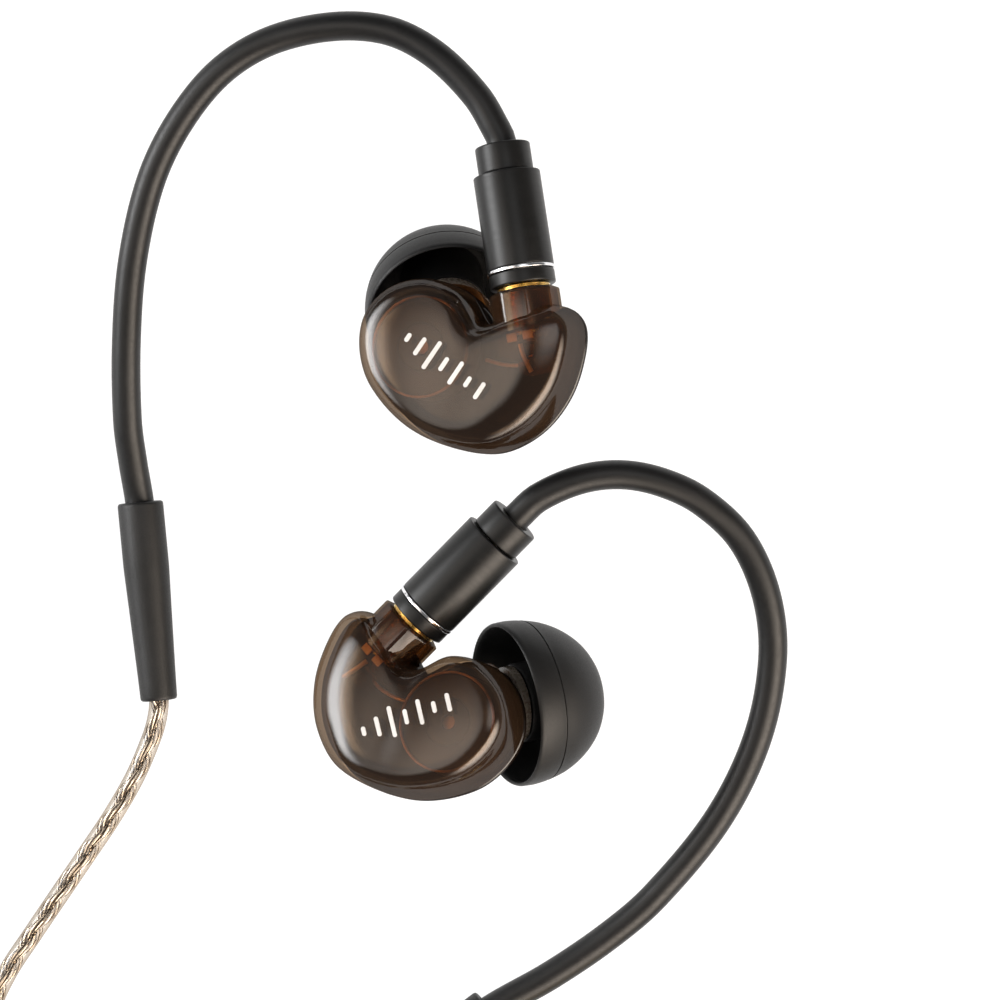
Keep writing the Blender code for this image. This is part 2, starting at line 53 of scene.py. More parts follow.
# Where each faceplate's printed bars are, and the way that they run: (u, v).
MARKS = {"right": ((6.5, -5.6), (-0.70, -0.71)), "left": ((7.1, -5.3), (0.46, 0.89))}
BAR_HEIGHTS, BAR_PITCH, BAR_HALF = (0.8, 1.7, 2.7, 1.3, 2.2, 1.0, 1.6), 1.3, 0.19
BAR_FOOT, BAR_TOP = -0.03, 0.05

# The middle of the drawing on the table, which is the frame's origin.
SET_CENTRE = Vector((-4.287, -6.846, 0.0))

# Camera: straight above the table, far away, so that the view is nearly parallel.
VIEW_WIDTH = 83.33
VIEW_HEIGHT = 520.0
SHARP_HEIGHT = 8.0
SENSOR_WIDTH = 36.0
FLOOR_HALF_M, FLOOR_DROP_M = 3.0, -0.00005
# How far from its middle a softbox begins to fade, as a share of its width.
FADE_FROM = 0.12

# Barrel and connector, as in the frame.
COLLAR_TOP, RING_TOP, BARREL_TOP, TOP_COLLAR_TOP = 1.12, 1.42, 9.45, 11.9
NECK_TOP, NECK_FOOT, NECK_R = -0.42, -3.4, 2.9
BORE_R = 1.65
SPLIT_W, FACE_W = -1.5, 3.5
WALL = 0.55
SHARP_ANGLE, SHELL_SHARP_ANGLE = math.radians(38), math.radians(32)
WELD_M = 0.000002
RIM_CENTRE = Vector((8.83, -0.06, -5.54))
TIP_PARTS = Vector((0.288, 0.675, -0.679)).normalized()
DRIVER_CENTRE = Vector((9.1, -3.4, 0.0))
DRIVER_R = 4.25
HOOK_R, CABLE_R, MAIN_R = 1.22, 0.825, 0.95
SLEEVE_LENGTH = 16.8
SLEEVE_DEPTHS = (3.0, 1.5, 0.0)

OUTLINE = [
    (3.6, -2.5), (5.2, 0.6), (7.7, 2.15), (10.9, 2.0), (13.4, 0.2), (14.35, -2.6),
    (13.9, -5.9), (11.5, -9.6), (8.3, -11.9), (4.6, -12.95), (0.9, -12.0), (-2.0, -9.6),
    (-3.8, -6.3), (-4.2, -3.8), (-3.0, -2.2), (0.0, -2.2),
]
OUTLINE_POINTS = 150
OUTLINE_CENTRE = np.array((5.6, -5.2))
LOBE_DOME, LOBE_REACH = (9.3, -4.3), 6.6
BODY_DOME, BODY_REACH = (1.6, -7.6), 7.8
DOME_RISE, DOME_BLEND = 0.30, 7.0
ROLL_SLOPE = 0.62
WIDE_ROLL, NARROW_ROLL = 2.4, 0.9

HOOKS = {
    "right": [(-0.25, 30.4, 14.5), (-1.96, 33.3, 14.15), (-5.4, 36.75, 13.5), (-9.2, 38.75, 12.8),
              (-13.9, 39.15, 11.85), (-19.2, 38.0, 10.7), (-23.3, 35.5, 9.8), (-26.7, 31.4, 8.9),
              (-29.1, 26.6, 7.9), (-30.7, 20.0, 6.6), (-31.3, 13.3, 5.2), (-31.3, 6.7, 3.7),
              (-30.9, 3.2, 2.8), (-30.4, 0.0, 2.05)],
    "left": [(3.2, 0.2, 10.8), (6.67, 1.7, 11.1), (10.0, 2.1, 11.1), (13.3, 1.5, 10.85),
             (16.7, -0.1, 10.3), (20.1, -3.3, 9.3), (22.2, -8.0, 8.3), (22.75, -13.3, 7.2),
             (21.5, -20.0, 6.0), (18.3, -26.7, 4.8), (13.0, -33.3, 3.6), (9.1, -36.7, 3.0),
             (4.3, -40.0, 2.5), (-0.6, -42.8, 2.05)],
}
SLEEVES = {
    "right": {"top": (-30.33, -0.17, 2.07), "along": (0.094, -0.995, -0.022)},
    "left": {"top": (-0.9, -42.97, 2.07), "along": (-0.80, -0.60, -0.022)},
}
CABLE_ROUTES = {
    "right": [(-28.95, -18.5, 1.45), (-29.4, -20.0, 1.1), (-30.8, -23.3, 0.9),
              (-32.75, -26.7, 0.86), (-34.96, -30.0, 0.86), (-37.2, -33.3, 0.86),
              (-39.5, -36.7, 0.86), (-41.6, -39.9, 0.86), (-43.2, -43.4, 0.86),
              (-43.95, -46.6, 0.86), (-43.98, -48.9, 0.86)],
    "left": [(-15.8, -54.3, 1.4), (-17.2, -56.1, 0.95), (-18.35, -58.6, 0.86),
             (-18.85, -61.6, 0.86)],
}
TWIN_Y = {"right": -85.6, "left": -83.8}
TWIN_Z = 1.5
TAIL_ROUTES = {
    "right": [(-39.0, -67.6, 1.9), (-36.4, -70.0, 1.3), (-32.0, -74.6, 0.9),
              (-26.0, -79.6, 0.86), (-19.0, -83.4, 0.86), (-12.0, -85.3, 1.1),
              (-5.0, TWIN_Y["right"], TWIN_Z), (4.0, TWIN_Y["right"], TWIN_Z),
              (14.0, TWIN_Y["right"], TWIN_Z)],
    "left": [(-13.2, -81.6, 2.0), (-11.0, -82.9, 1.75), (-8.5, -83.7, 1.6),
             (-5.0, TWIN_Y["left"], TWIN_Z), (4.0, TWIN_Y["left"], TWIN_Z),
             (14.0, TWIN_Y["left"], TWIN_Z)],
}
MAIN_ROUTE = [(24.75, -84.7, 1.5), (26.4, -84.7, 1.3), (29.4, -83.9, 1.0), (32.4, -81.6, 0.98),
              (34.6, -78.0, 0.98), (35.65, -73.6, 0.98)]
MAIN_TAIL_ROUTE = [(36.1, -58.6, 6.0), (36.55, -55.0, 5.2), (36.3, -51.6, 4.2),
                   (34.8, -48.6, 3.3), (32.6, -47.0, 3.0), (31.15, -46.8, 3.0)]
# Coils: middle on the table, mean radius, layers, and the angles of first and last touch.
COILS = {
    "right": {"middle": (-32.8, -56.0), "mean": 8.7, "layers": 2, "wire": CABLE_R,
              "angles": (180.0, 210.1)},
    "left": {"middle": (-6.5, -69.0), "mean": 9.9, "layers": 2, "wire": CABLE_R,
             "angles": (180.0, 212.1)},
    "main": {"middle": (22.5, -66.0), "mean": 10.45, "layers": 4, "wire": MAIN_R,
             "angles": (-1.1, -2.2)},
}
TURNS_IN_LAYER = 3
TIE_ANGLES = {"right": 60.0, "left": 300.0, "main": 150.0}
TIE_THICKNESS, TIE_WIDTH, TIE_CORNER, TIE_EASE = 0.3, 3.0, 0.9, 0.15
TWIST_PITCH, STRAND_SHARE = 5.8, 0.46

SLIDER_X, SLIDER_SIZE = 10.9, (6.0, 5.3, 3.0)
SPLITTER_X, SPLITTER_SIZE = 19.3, (10.0, 4.6, 3.0)
PLUG_END = (30.7, -46.8, 3.0)


# ---------------------------------------------------------------- geometry helpers

def on_table(points):
    """Points of the laid-out set, in millimetres, as metres in the frame."""
    return (np.array(points, float) - np.array(SET_CENTRE)) * MM


def spline(points, count, closed=False):
    """Points along a smooth curve through the given ones, evenly spaced by chord."""
    knots = np.array(points, float)
    total = len(knots)
    spans = total if closed else total - 1
    follow = np.roll(knots, -1, axis=0)[:spans]
    lengths = np.linalg.norm(follow - knots[:spans], axis=1)
    slopes = np.zeros_like(knots)
    for i in range(total):
        if closed or 0 < i < total - 1:
            before, after = knots[i - 1], knots[(i + 1) % total]
            slopes[i] = (after - before) / (lengths[i - 1] + lengths[i % spans])
    if not closed:
        slopes[0] = (knots[1] - knots[0]) / lengths[0]
        slopes[-1] = (knots[-1] - knots[-2]) / lengths[-1]
    starts = np.concatenate([[0.0], np.cumsum(lengths)])
    steps = count if closed else count - 1
    wanted = starts[-1] * np.arange(count) / steps
    index = np.clip(np.searchsorted(starts, wanted, side="right") - 1, 0, spans - 1)
    t = ((wanted - starts[index]) / lengths[index])[:, None]
    run = lengths[index][:, None]
    after = (index + 1) % total
    return (knots[index] * (2 * t**3 - 3 * t**2 + 1) + slopes[index] * run * (t**3 - 2 * t**2 + t)
            + knots[after] * (3 * t**2 - 2 * t**3) + slopes[after] * run * (t**3 - t**2))


def runs_of(path):
    """The distance along a path to each of its points."""
    lengths = np.linalg.norm(np.diff(path, axis=0), axis=1)
    return np.concatenate([[0.0], np.cumsum(lengths)])


def spaced(path, gap):
    """The same path with points an even distance apart along it."""
    starts = runs_of(path)
    wanted = np.linspace(0.0, starts[-1], max(int(round(starts[-1] / gap)), 2) + 1)
    return np.stack([np.interp(wanted, starts, path[:, k]) for k in range(3)], axis=1)


def frames_along(path):
    """Tangents and two perpendiculars that don't twist, for each point of a path."""
    tangents = np.gradient(path, axis=0)
    tangents /= np.linalg.norm(tangents, axis=1)[:, None]
    side = np.cross(tangents[0], (0.0, 0.0, 1.0))
    if np.linalg.norm(side) < 0.1:
        side = np.cross(tangents[0], (1.0, 0.0, 0.0))
    normals = np.zeros_like(path)
    for i, tangent in enumerate(tangents):
        side = side - tangent * side.dot(tangent)
        side = side / np.linalg.norm(side)
        normals[i] = side
    return tangents, normals, np.cross(tangents, normals)


def helix_about(path, offset, phase, pitch):
    """A strand that winds round a path at a distance, one turn for each pitch."""
    _, normals, others = frames_along(path)
    turn = runs_of(path) / pitch * math.tau + phase
    return path + offset * (np.cos(turn)[:, None] * normals + np.sin(turn)[:, None] * others)


def tube_data(path, radius, sides):
    """Points, faces and face-corner UVs of a capped tube; U runs round, V is length in mm."""
    count = len(path)
    _, normals, others = frames_along(path)
    angle = np.arange(sides) * math.tau / sides
    ring = (np.cos(angle)[None, :, None] * normals[:, None, :]
            + np.sin(angle)[None, :, None] * others[:, None, :])
    points = (path[:, None, :] + radius * ring).reshape(-1, 3)
    i, j = np.meshgrid(np.arange(count - 1), np.arange(sides), indexing="ij")
    k = (j + 1) % sides
    quads = np.stack([i * sides + j, i * sides + k, (i + 1) * sides + k, (i + 1) * sides + j],
                     axis=-1).reshape(-1, 4)
    along = runs_of(path)
    low, high = along[i], along[i + 1]
    uvs = np.stack([np.stack([j / sides, low], -1), np.stack([(j + 1) / sides, low], -1),
                    np.stack([(j + 1) / sides, high], -1), np.stack([j / sides, high], -1)],
                   axis=-2).reshape(-1, 2)
    faces = [list(quad) for quad in quads.tolist()]
    faces.append(list(range(sides))[::-1])
    faces.append(list(range((count - 1) * sides, count * sides)))
    caps = np.zeros((2 * sides, 2))
    return points, faces, np.concatenate([uvs, caps])


def rounded(profile, radius, closed):
    """The profile with each corner eased by a short curve."""
    points = [np.array(p, float) for p in profile]
    count = len(points)
    result = []
    for i, corner in enumerate(points):
        if not closed and i in (0, count - 1):
            result.append(corner)
            continue
        before, after = points[i - 1] - corner, points[(i + 1) % count] - corner
        reach = min(radius, 0.45 * np.linalg.norm(before), 0.45 * np.linalg.norm(after))
        start = corner + before / np.linalg.norm(before) * reach
        end = corner + after / np.linalg.norm(after) * reach
        for t in (0.0, 0.25, 0.5, 0.75, 1.0):
            result.append(start * (1 - t) ** 2 + corner * 2 * t * (1 - t) + end * t**2)
    return result


def turned_data(profile, steps, ease=0.0):
    """Points and faces of a turned solid: (radius, height) in mm about Z, closed into a
    loop unless the profile starts and ends on the axis."""
    points = [tuple(p) for p in profile]
    area = sum(a[0] * b[1] - b[0] * a[1] for a, b in zip(points, points[1:] + points[:1]))
    if area > 0:
        points.reverse()
    closed = min(points[0][0], points[-1][0]) > 1e-6
    if ease:
        points = rounded(points, ease, closed)
    verts, rings = [], []
    for r, h in points:
        if r < 1e-6:
            rings.append([len(verts)] * steps)
            verts.append((0.0, 0.0, h))
            continue
        rings.append(list(range(len(verts), len(verts) + steps)))
        verts += [(r * math.cos(math.tau * j / steps), r * math.sin(math.tau * j / steps), h)
                  for j in range(steps)]
    faces = []
    for upper, lower in zip(rings, rings[1:] + (rings[:1] if closed else [])):
        for j in range(steps):
            k = (j + 1) % steps
            corners = [upper[j], lower[j], lower[k], upper[k]]
            face = [c for n, c in enumerate(corners) if c not in corners[:n]]
            if len(face) > 2:
                faces.append(face)
    return np.array(verts), faces


def emptied(build, mesh):
    """The mesh, filled from a bmesh that is then freed."""
    build.to_mesh(mesh)
    build.free()
    return mesh


def linked(name, data, matrix=None):
    """A new object in the scene, at a place if one is given."""
    made = bpy.data.objects.new(name, data)
    bpy.context.scene.collection.objects.link(made)
    if matrix is not None:
        made.matrix_world = matrix
    return made


def smoothed(mesh, angle=SHARP_ANGLE):
    """The mesh shaded smooth, but sharp where its faces turn by more than the angle."""
    mesh.shade_smooth()
    mesh.set_sharp_from_angle(angle=angle)
    return mesh


def make_mesh(name, points, faces, uvs=None):
    """A smoothed mesh from points in millimetres."""
    mesh = bpy.data.meshes.new(name)
    mesh.from_pydata((np.array(points) * MM).tolist(), [], faces)
    if uvs is not None:
        layer = mesh.uv_layers.new(name="route")
        layer.data.foreach_set("uv", np.array(uvs, np.float32).ravel())
    return smoothed(mesh)


def piece(name, mesh, material, body, nodes=(), matrix=None):
    """Link a finished piece, give it its material, and tie it to the frame."""
    mesh.materials.clear()
    mesh.materials.append(material)
    made = linked(name, mesh, matrix)
    bpy.context.view_layer.update()
    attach(made, body)
    if nodes:
        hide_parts(*nodes)
    return made


def joined(sets):
    """Several (points, faces, uvs) sets as one."""
    points, faces, uvs, start = [], [], [], 0
    for some_points, some_faces, some_uvs in sets:
        points.append(some_points)
        uvs.append(some_uvs)
        faces += [[c + start for c in face] for face in some_faces]
        start += len(some_points)
    return np.concatenate(points), faces, np.concatenate(uvs)


def axis_matrix(origin, axis):
    """Z along an axis from an origin, both in the frame, in metres."""
    turn = Vector(axis).to_track_quat("Z", "Y").to_matrix().to_4x4()
    return Matrix.Translation(Vector(origin)) @ turn


def side_matrix(side):
    """The earphone's own frame, from its joints: barrel axis and ear-tip axis."""
    barrel = JOINTS[side + "_swivel_turn"]
    along = Vector(barrel["axis"]).normalized()
    tip = Vector(JOINTS[side + "_tip_pull"]["axis"]).normalized()
    across = (tip - along * TIP_PARTS.y).normalized()
    beside = along.cross(across) * SIGNS[side]
    size = math.hypot(TIP_PARTS.x, TIP_PARTS.z)
    cosine, sine = TIP_PARTS.x / size, -TIP_PARTS.z / size
    lobe = across * cosine - beside * sine
    face = -across * sine - beside * cosine
    rows = Matrix((lobe * SIGNS[side], along, face)).transposed()
    return Matrix.Translation(Vector(barrel["pos_m"])) @ rows.to_4x4()


def mirrored(side, spot):
    """A spot or direction of an earphone's own frame, turned over for the right one."""
    return Vector((spot[0] * SIGNS[side], spot[1], spot[2]))


def local_axis(side, origin, axis):
    """A matrix with Z along an axis of the earphone's own frame."""
    return side_matrix(side) @ axis_matrix(mirrored(side, origin) * MM, mirrored(side, axis))


# ---------------------------------------------------------------- materials

WHITE = (1.0, 1.0, 1.0, 1.0)
# The most that clear plastic mirrors at its edges: less than glass, since it is worn satin.
MIRROR_MOST = 0.045
# A strand's bright wires: how many lie round it, and their turns round it in a millimetre.
WIRES_ROUND, WIRE_TURNS = 7.0, 0.14


def new_material(name):
    """A material with nodes, its tree and its main shader."""
    material = bpy.data.materials.new(name)
    material.use_nodes = True
    tree = material.node_tree
    return material, tree, tree.nodes["Principled BSDF"]


def feed(node, place, value):
    """Set one of a node's sockets, or link another node's output to it."""
    if isinstance(value, bpy.types.NodeSocket):
        node.id_data.links.new(value, node.inputs[place])
    else:
        node.inputs[place].default_value = value


def settle(node, *sockets, **values):
    """Feed a node's sockets by order, or by name with _ for a space, and set its own values."""
    for name, value in values.items():
        key = name.replace("_", " ")
        if key in node.inputs:
            feed(node, key, value)
        else:
            setattr(node, name, value)
    for place, value in enumerate(sockets):
        feed(node, place, value)
    return node


def add_node(tree, kind, *sockets, **values):
    """A new shader node, settled."""
    return settle(tree.nodes.new("ShaderNode" + kind), *sockets, **values)


def noise(tree, scale, detail=3.0, stretch=(1.0, 1.0, 1.0)):
    """Noise in the piece's own coordinates; scale counts features in a metre."""
    place = add_node(tree, "TexCoord").outputs["Object"]
    mapped = add_node(tree, "Mapping", Vector=place, Scale=stretch).outputs["Vector"]
    return add_node(tree, "TexNoise", Vector=mapped, Scale=scale, Detail=detail).outputs["Fac"]


def ramp(tree, value, low, high, start=0.3, end=0.7, **more):
    """A value mapped to a range of numbers."""
    return add_node(tree, "MapRange", Value=value, From_Min=start, From_Max=end, To_Min=low,
                    To_Max=high, **more).outputs["Result"]


def colours(tree, value, first, second, start=0.35, end=0.65):
    """A value turned into a blend of two colours."""
    made = add_node(tree, "ValToRGB", Fac=value)
    stops = ((start, first), (end, second))
    for element, (position, colour) in zip(made.color_ramp.elements, stops):
        element.position, element.color = position, (*colour, 1.0)
    return made.outputs["Color"]


def bump(tree, shader, value, strength, distance):
    """Raise the surface by a value, strength and distance as in the Bump node."""
    made = add_node(tree, "Bump", Height=value, Strength=strength, Distance=distance)
    settle(shader, Normal=made.outputs["Normal"])


def solid(name, first, second, rough, metallic=0.0, grain=4000.0, depth=0.00001,
          strength=0.3, stretch=(1.0, 1.0, 1.0), sheen=0.0, specular=0.5, spread=0.12):
    """An opaque finish: two near colours, uneven gloss and a fine grain."""
    material, tree, shader = new_material(name)
    fine = noise(tree, grain, 4.0, stretch)
    broad = noise(tree, 260.0, 3.0)
    settle(shader, Base_Color=colours(tree, broad, first, second),
           Roughness=ramp(tree, fine, rough - spread / 2, rough + spread / 2),
           Metallic=metallic, Sheen_Weight=sheen, Specular_IOR_Level=specular)
    bump(tree, shader, fine, strength, depth)
    return material


def mixed(tree, share, first, second):
    """Two shaders mixed by a share of the second."""
    return add_node(tree, "MixShader", share, first, second).outputs["Shader"]


def maths(tree, operation, *values):
    """The result of a Math node."""
    return add_node(tree, "Math", *values, operation=operation).outputs["Value"]


def see_through(name, body, tint, cover, rough=0.05, edge=0.55):
    """Clear tinted plastic: a share of light goes straight through, and gloss lies over it."""
    material, tree, shader = new_material(name)
    cloud = noise(tree, 180.0, 2.0)
    darker = tuple(c * 0.7 for c in body)
    settle(shader, Base_Color=colours(tree, cloud, darker, body), Roughness=0.3,
           Specular_IOR_Level=0.0)
    clear = add_node(tree, "BsdfTransparent", Color=(*tint, 1.0))
    facing = add_node(tree, "LayerWeight", Blend=0.35).outputs["Facing"]
    share = ramp(tree, facing, cover, cover + edge, 0.0, 1.0)
    mass = mixed(tree, share, clear.outputs["BSDF"], shader.outputs["BSDF"])
    gloss = add_node(tree, "BsdfGlossy", Roughness=rough, Color=WHITE)
    mirror = add_node(tree, "Fresnel", IOR=1.52).outputs["Fac"]
    most = maths(tree, "MINIMUM", mirror, MIRROR_MOST)
    top = mixed(tree, most, mass, gloss.outputs["BSDF"])
    settle(tree.nodes["Material Output"], Surface=top)
    return material


def strand_finish(name, bright, dark):
    """Bundled bright wires that wind slowly round the strand, with painted shade between them."""
    material, tree, shader = new_material(name)
    route = add_node(tree, "UVMap", uv_map="route").outputs["UV"]
    split = add_node(tree, "SeparateXYZ", Vector=route).outputs
    lay = maths(tree, "MULTIPLY_ADD", split["Y"], WIRE_TURNS, split["X"])
    wires = maths(tree, "SINE", maths(tree, "MULTIPLY", lay, math.tau * WIRES_ROUND))
    share = ramp(tree, wires, 0.0, 1.0, -1.0, 1.0)
    # The dark colour is painted shade that darkens the strand between its bright wires.
    settle(shader, Base_Color=colours(tree, share, dark, bright, 0.3, 0.9), Metallic=0.9,
           Roughness=0.26)
    bump(tree, shader, wires, 0.5, 0.00004)
    return material


FINISHES = {
    "smoke": see_through("smoke_shell_outer", (0.030, 0.018, 0.011), (0.84, 0.68, 0.52), 0.24,
                         rough=0.07, edge=0.7),
    "smoke_deep": see_through("smoke_shell_inner", (0.012, 0.008, 0.006), (0.40, 0.28, 0.18),
                              0.88, rough=0.12, edge=0.1),
    "amber": see_through("amber_block", (0.10, 0.048, 0.018), (0.80, 0.52, 0.26), 0.30, rough=0.10,
                         edge=0.5),
    "jacket": see_through("clear_jacket_finish", (0.30, 0.23, 0.17), (0.96, 0.92, 0.86), 0.03,
                          rough=0.08, edge=0.75),
    # The strand's second colour is painted shade between its wires.
    "strand": strand_finish("strand_finish", (0.90, 0.83, 0.74), (0.05, 0.03, 0.018)),
    "black_metal": solid("anodised_finish", (0.003, 0.003, 0.003), (0.0055, 0.0055, 0.0056), 0.38,
                         grain=1500.0, stretch=(0.2, 0.2, 9.0), depth=0.000006, strength=0.5,
                         specular=0.34),
    "silver": solid("steel_finish", (0.78, 0.78, 0.80), (0.88, 0.88, 0.90), 0.16, metallic=1.0,
                    spread=0.06),
    "gold": solid("gold_finish", (0.92, 0.72, 0.36), (0.98, 0.82, 0.50), 0.24, metallic=1.0),
    "copper": solid("copper_finish", (0.72, 0.40, 0.17), (0.86, 0.53, 0.25), 0.34, metallic=0.6),
    "ring": solid("ring_finish", (0.03, 0.017, 0.01), (0.62, 0.33, 0.16), 0.34, metallic=0.6),
    "silicone": solid("silicone_finish", (0.004, 0.004, 0.0042), (0.007, 0.007, 0.0075), 0.50,
                      grain=9000.0, depth=0.000012, strength=0.6, specular=0.36),
    "hook": solid("hook_finish", (0.0035, 0.0035, 0.0037), (0.006, 0.006, 0.0065), 0.42,
                  grain=3500.0, depth=0.000008, specular=0.4),
    "sleeve": solid("sleeve_finish", (0.005, 0.005, 0.0052), (0.009, 0.009, 0.0095), 0.5,
                    grain=7000.0, depth=0.00002, strength=0.7, spread=0.2, specular=0.4),
    "tie": solid("tie_finish", (0.008, 0.008, 0.009), (0.016, 0.016, 0.017), 0.75, grain=5000.0,
                 depth=0.00005, strength=0.8, sheen=0.4, specular=0.3),
    "mesh": solid("mesh_finish", (0.30, 0.30, 0.31), (0.52, 0.52, 0.53), 0.4, metallic=1.0,
                  grain=12000.0, depth=0.00004, strength=1.0),
    "lip": solid("nozzle_lip_finish", (0.09, 0.075, 0.06), (0.14, 0.12, 0.10), 0.28),
    "dark": solid("driver_finish", (0.030, 0.021, 0.015), (0.052, 0.037, 0.026), 0.35,
                  metallic=0.3),
    "film": solid("film_finish", (0.45, 0.38, 0.28), (0.60, 0.52, 0.40), 0.35),
    "print": solid("print_finish", (0.62, 0.60, 0.58), (0.72, 0.70, 0.68), 0.45),
}


# ---------------------------------------------------------------- shells

def ring(sign, w, inset=0.0, scale=1.0, rise=None):
    """The outline at depth w, moved in by a distance and scaled about its middle."""
    loop = spline(OUTLINE, OUTLINE_POINTS, closed=True)
    run = np.roll(loop, -1, axis=0) - np.roll(loop, 1, axis=0)
    inward = np.stack([run[:, 1], -run[:, 0]], axis=1)
    inward /= np.linalg.norm(inward, axis=1)[:, None]
    moved = OUTLINE_CENTRE + (loop + inward * inset - OUTLINE_CENTRE) * scale
    depth = np.full(len(moved), float(w)) if rise is None else w + rise(moved)
    return np.column_stack([moved[:, 0] * sign, moved[:, 1], depth])


def quads_between(bands, rows, count):
    """Faces of so many bands between closed rows of points, the last row next to the first."""
    faces = []
    for k in range(bands):
        low, high = k * count, ((k + 1) % rows) * count
        for i in range(count):
            j = (i + 1) % count
            faces.append([low + i, low + j, high + j, high + i])
    return faces


def facing_out(mesh, weld=0.0):
    """The mesh with its faces turned out, and its near points made one if asked."""
    build = bmesh.new()
    build.from_mesh(mesh)
    if weld:
        bmesh.ops.remove_doubles(build, verts=build.verts, dist=weld)
    bmesh.ops.recalc_face_normals(build, faces=build.faces)
    return emptied(build, mesh)


def loft_data(rings):
    """A closed solid through rings, with a point in the middle of each end."""
    count = len(rings[0])
    points = np.concatenate([*rings, rings[0].mean(0)[None], rings[-1].mean(0)[None]])
    faces = quads_between(len(rings) - 1, len(rings), count)
    first, last = len(points) - 2, len(points) - 1
    top = (len(rings) - 1) * count
    for i in range(count):
        j = (i + 1) % count
        faces.append([j, i, first])
        faces.append([top + i, top + j, last])
    return points, faces


def face_rise(points):
    """How far the faceplate stands over its edge: two low domes that meet in a valley,
    which runs down from the notch."""
    domes = []
    for centre, reach in ((LOBE_DOME, LOBE_REACH), (BODY_DOME, BODY_REACH)):
        gap = np.linalg.norm(points - np.array(centre), axis=1)
        domes.append(1.0 - (gap / reach) ** 2)
    return DOME_RISE * np.log(sum(np.exp(DOME_BLEND * dome) for dome in domes)) / DOME_BLEND


def roll_width(points):
    """How far the face falls off towards its edge: wide by the shoulder, narrow by the lobe."""
    share = np.clip((points[:, 0] - 2.0) / 6.0, 0.0, 1.0)
    return WIDE_ROLL + (NARROW_ROLL - WIDE_ROLL) * share * share * (3.0 - 2.0 * share)


def face_ring(sign, inset, scale, depth=0.0):
    """A ring of the faceplate: its edge at scale 1, its level middle inside."""
    def rise(points):
        width = roll_width(points)
        part = np.clip((1.0 - scale) * 7.0 / width, 0.0, 1.0)
        roll = ROLL_SLOPE * width / 2.0 * (1.0 - part) ** 2
        return face_rise(points) * (1.0 - scale**4) - roll
    return ring(sign, FACE_W - depth, inset, scale, rise)


def wall_ring(sign, inset, w, share):
    """A ring of the side wall, lowered by a share of the fall of the face's edge there."""
    def rise(points):
        return share * ROLL_SLOPE * (NARROW_ROLL - roll_width(points)) / 2.0
    return ring(sign, w, inset, 1.0, rise)


def half_shell(name, outer, inner):
    """A mesh for a hollow half: both lists run from the rim to the middle."""
    count = len(outer[0])
    rows = outer + inner[::-1]
    points = np.concatenate(rows)
    faces = quads_between(len(rows), len(rows), count)
    mesh = bpy.data.meshes.new(name)
    mesh.from_pydata((points * MM).tolist(), [], faces)
    return facing_out(mesh, WELD_M)


def with_booleans(name, mesh, steps):
    """Apply unions and cuts, given as (operation, mesh, matrix), in the mesh's own frame."""
    base = linked(name + "_base", mesh)
    others = []
    for operation, other, matrix in steps:
        tool = linked(name + "_tool", other, matrix)
        change = base.modifiers.new(operation, "BOOLEAN")
        change.operation = operation
        change.object = tool
        change.solver = "EXACT"
        others.append(tool)
    bpy.context.view_layer.update()
    seen = base.evaluated_get(bpy.context.evaluated_depsgraph_get())
    result = bpy.data.meshes.new_from_object(seen)
    for thing in [base, *others]:
        bpy.data.objects.remove(thing, do_unlink=True)
    result.name = name
    return smoothed(result, SHELL_SHARP_ANGLE)


def prism_mesh(name, corners, radius, low, high, ease):
    """An upright prism with eased edges, about Z, from low to high."""
    build = bmesh.new()
    made = bmesh.ops.create_cone(build, cap_ends=True, segments=corners, radius1=radius * MM,
                                 radius2=radius * MM, depth=(high - low) * MM)
    bmesh.ops.translate(build, vec=(0, 0, (low + high) / 2 * MM), verts=made["verts"])
    bmesh.ops.bevel(build, geom=list(build.edges), offset=ease * MM, segments=3, profile=0.5,
                    affect="EDGES")
    return emptied(build, bpy.data.meshes.new(name))


def cylinder_mesh(name, radius, low, high, steps=64):
    """A cylinder about Z, from low to high."""
    profile = [(0, high), (radius, high), (radius, low), (0, low)]
    return make_mesh(name, *turned_data(profile, steps))


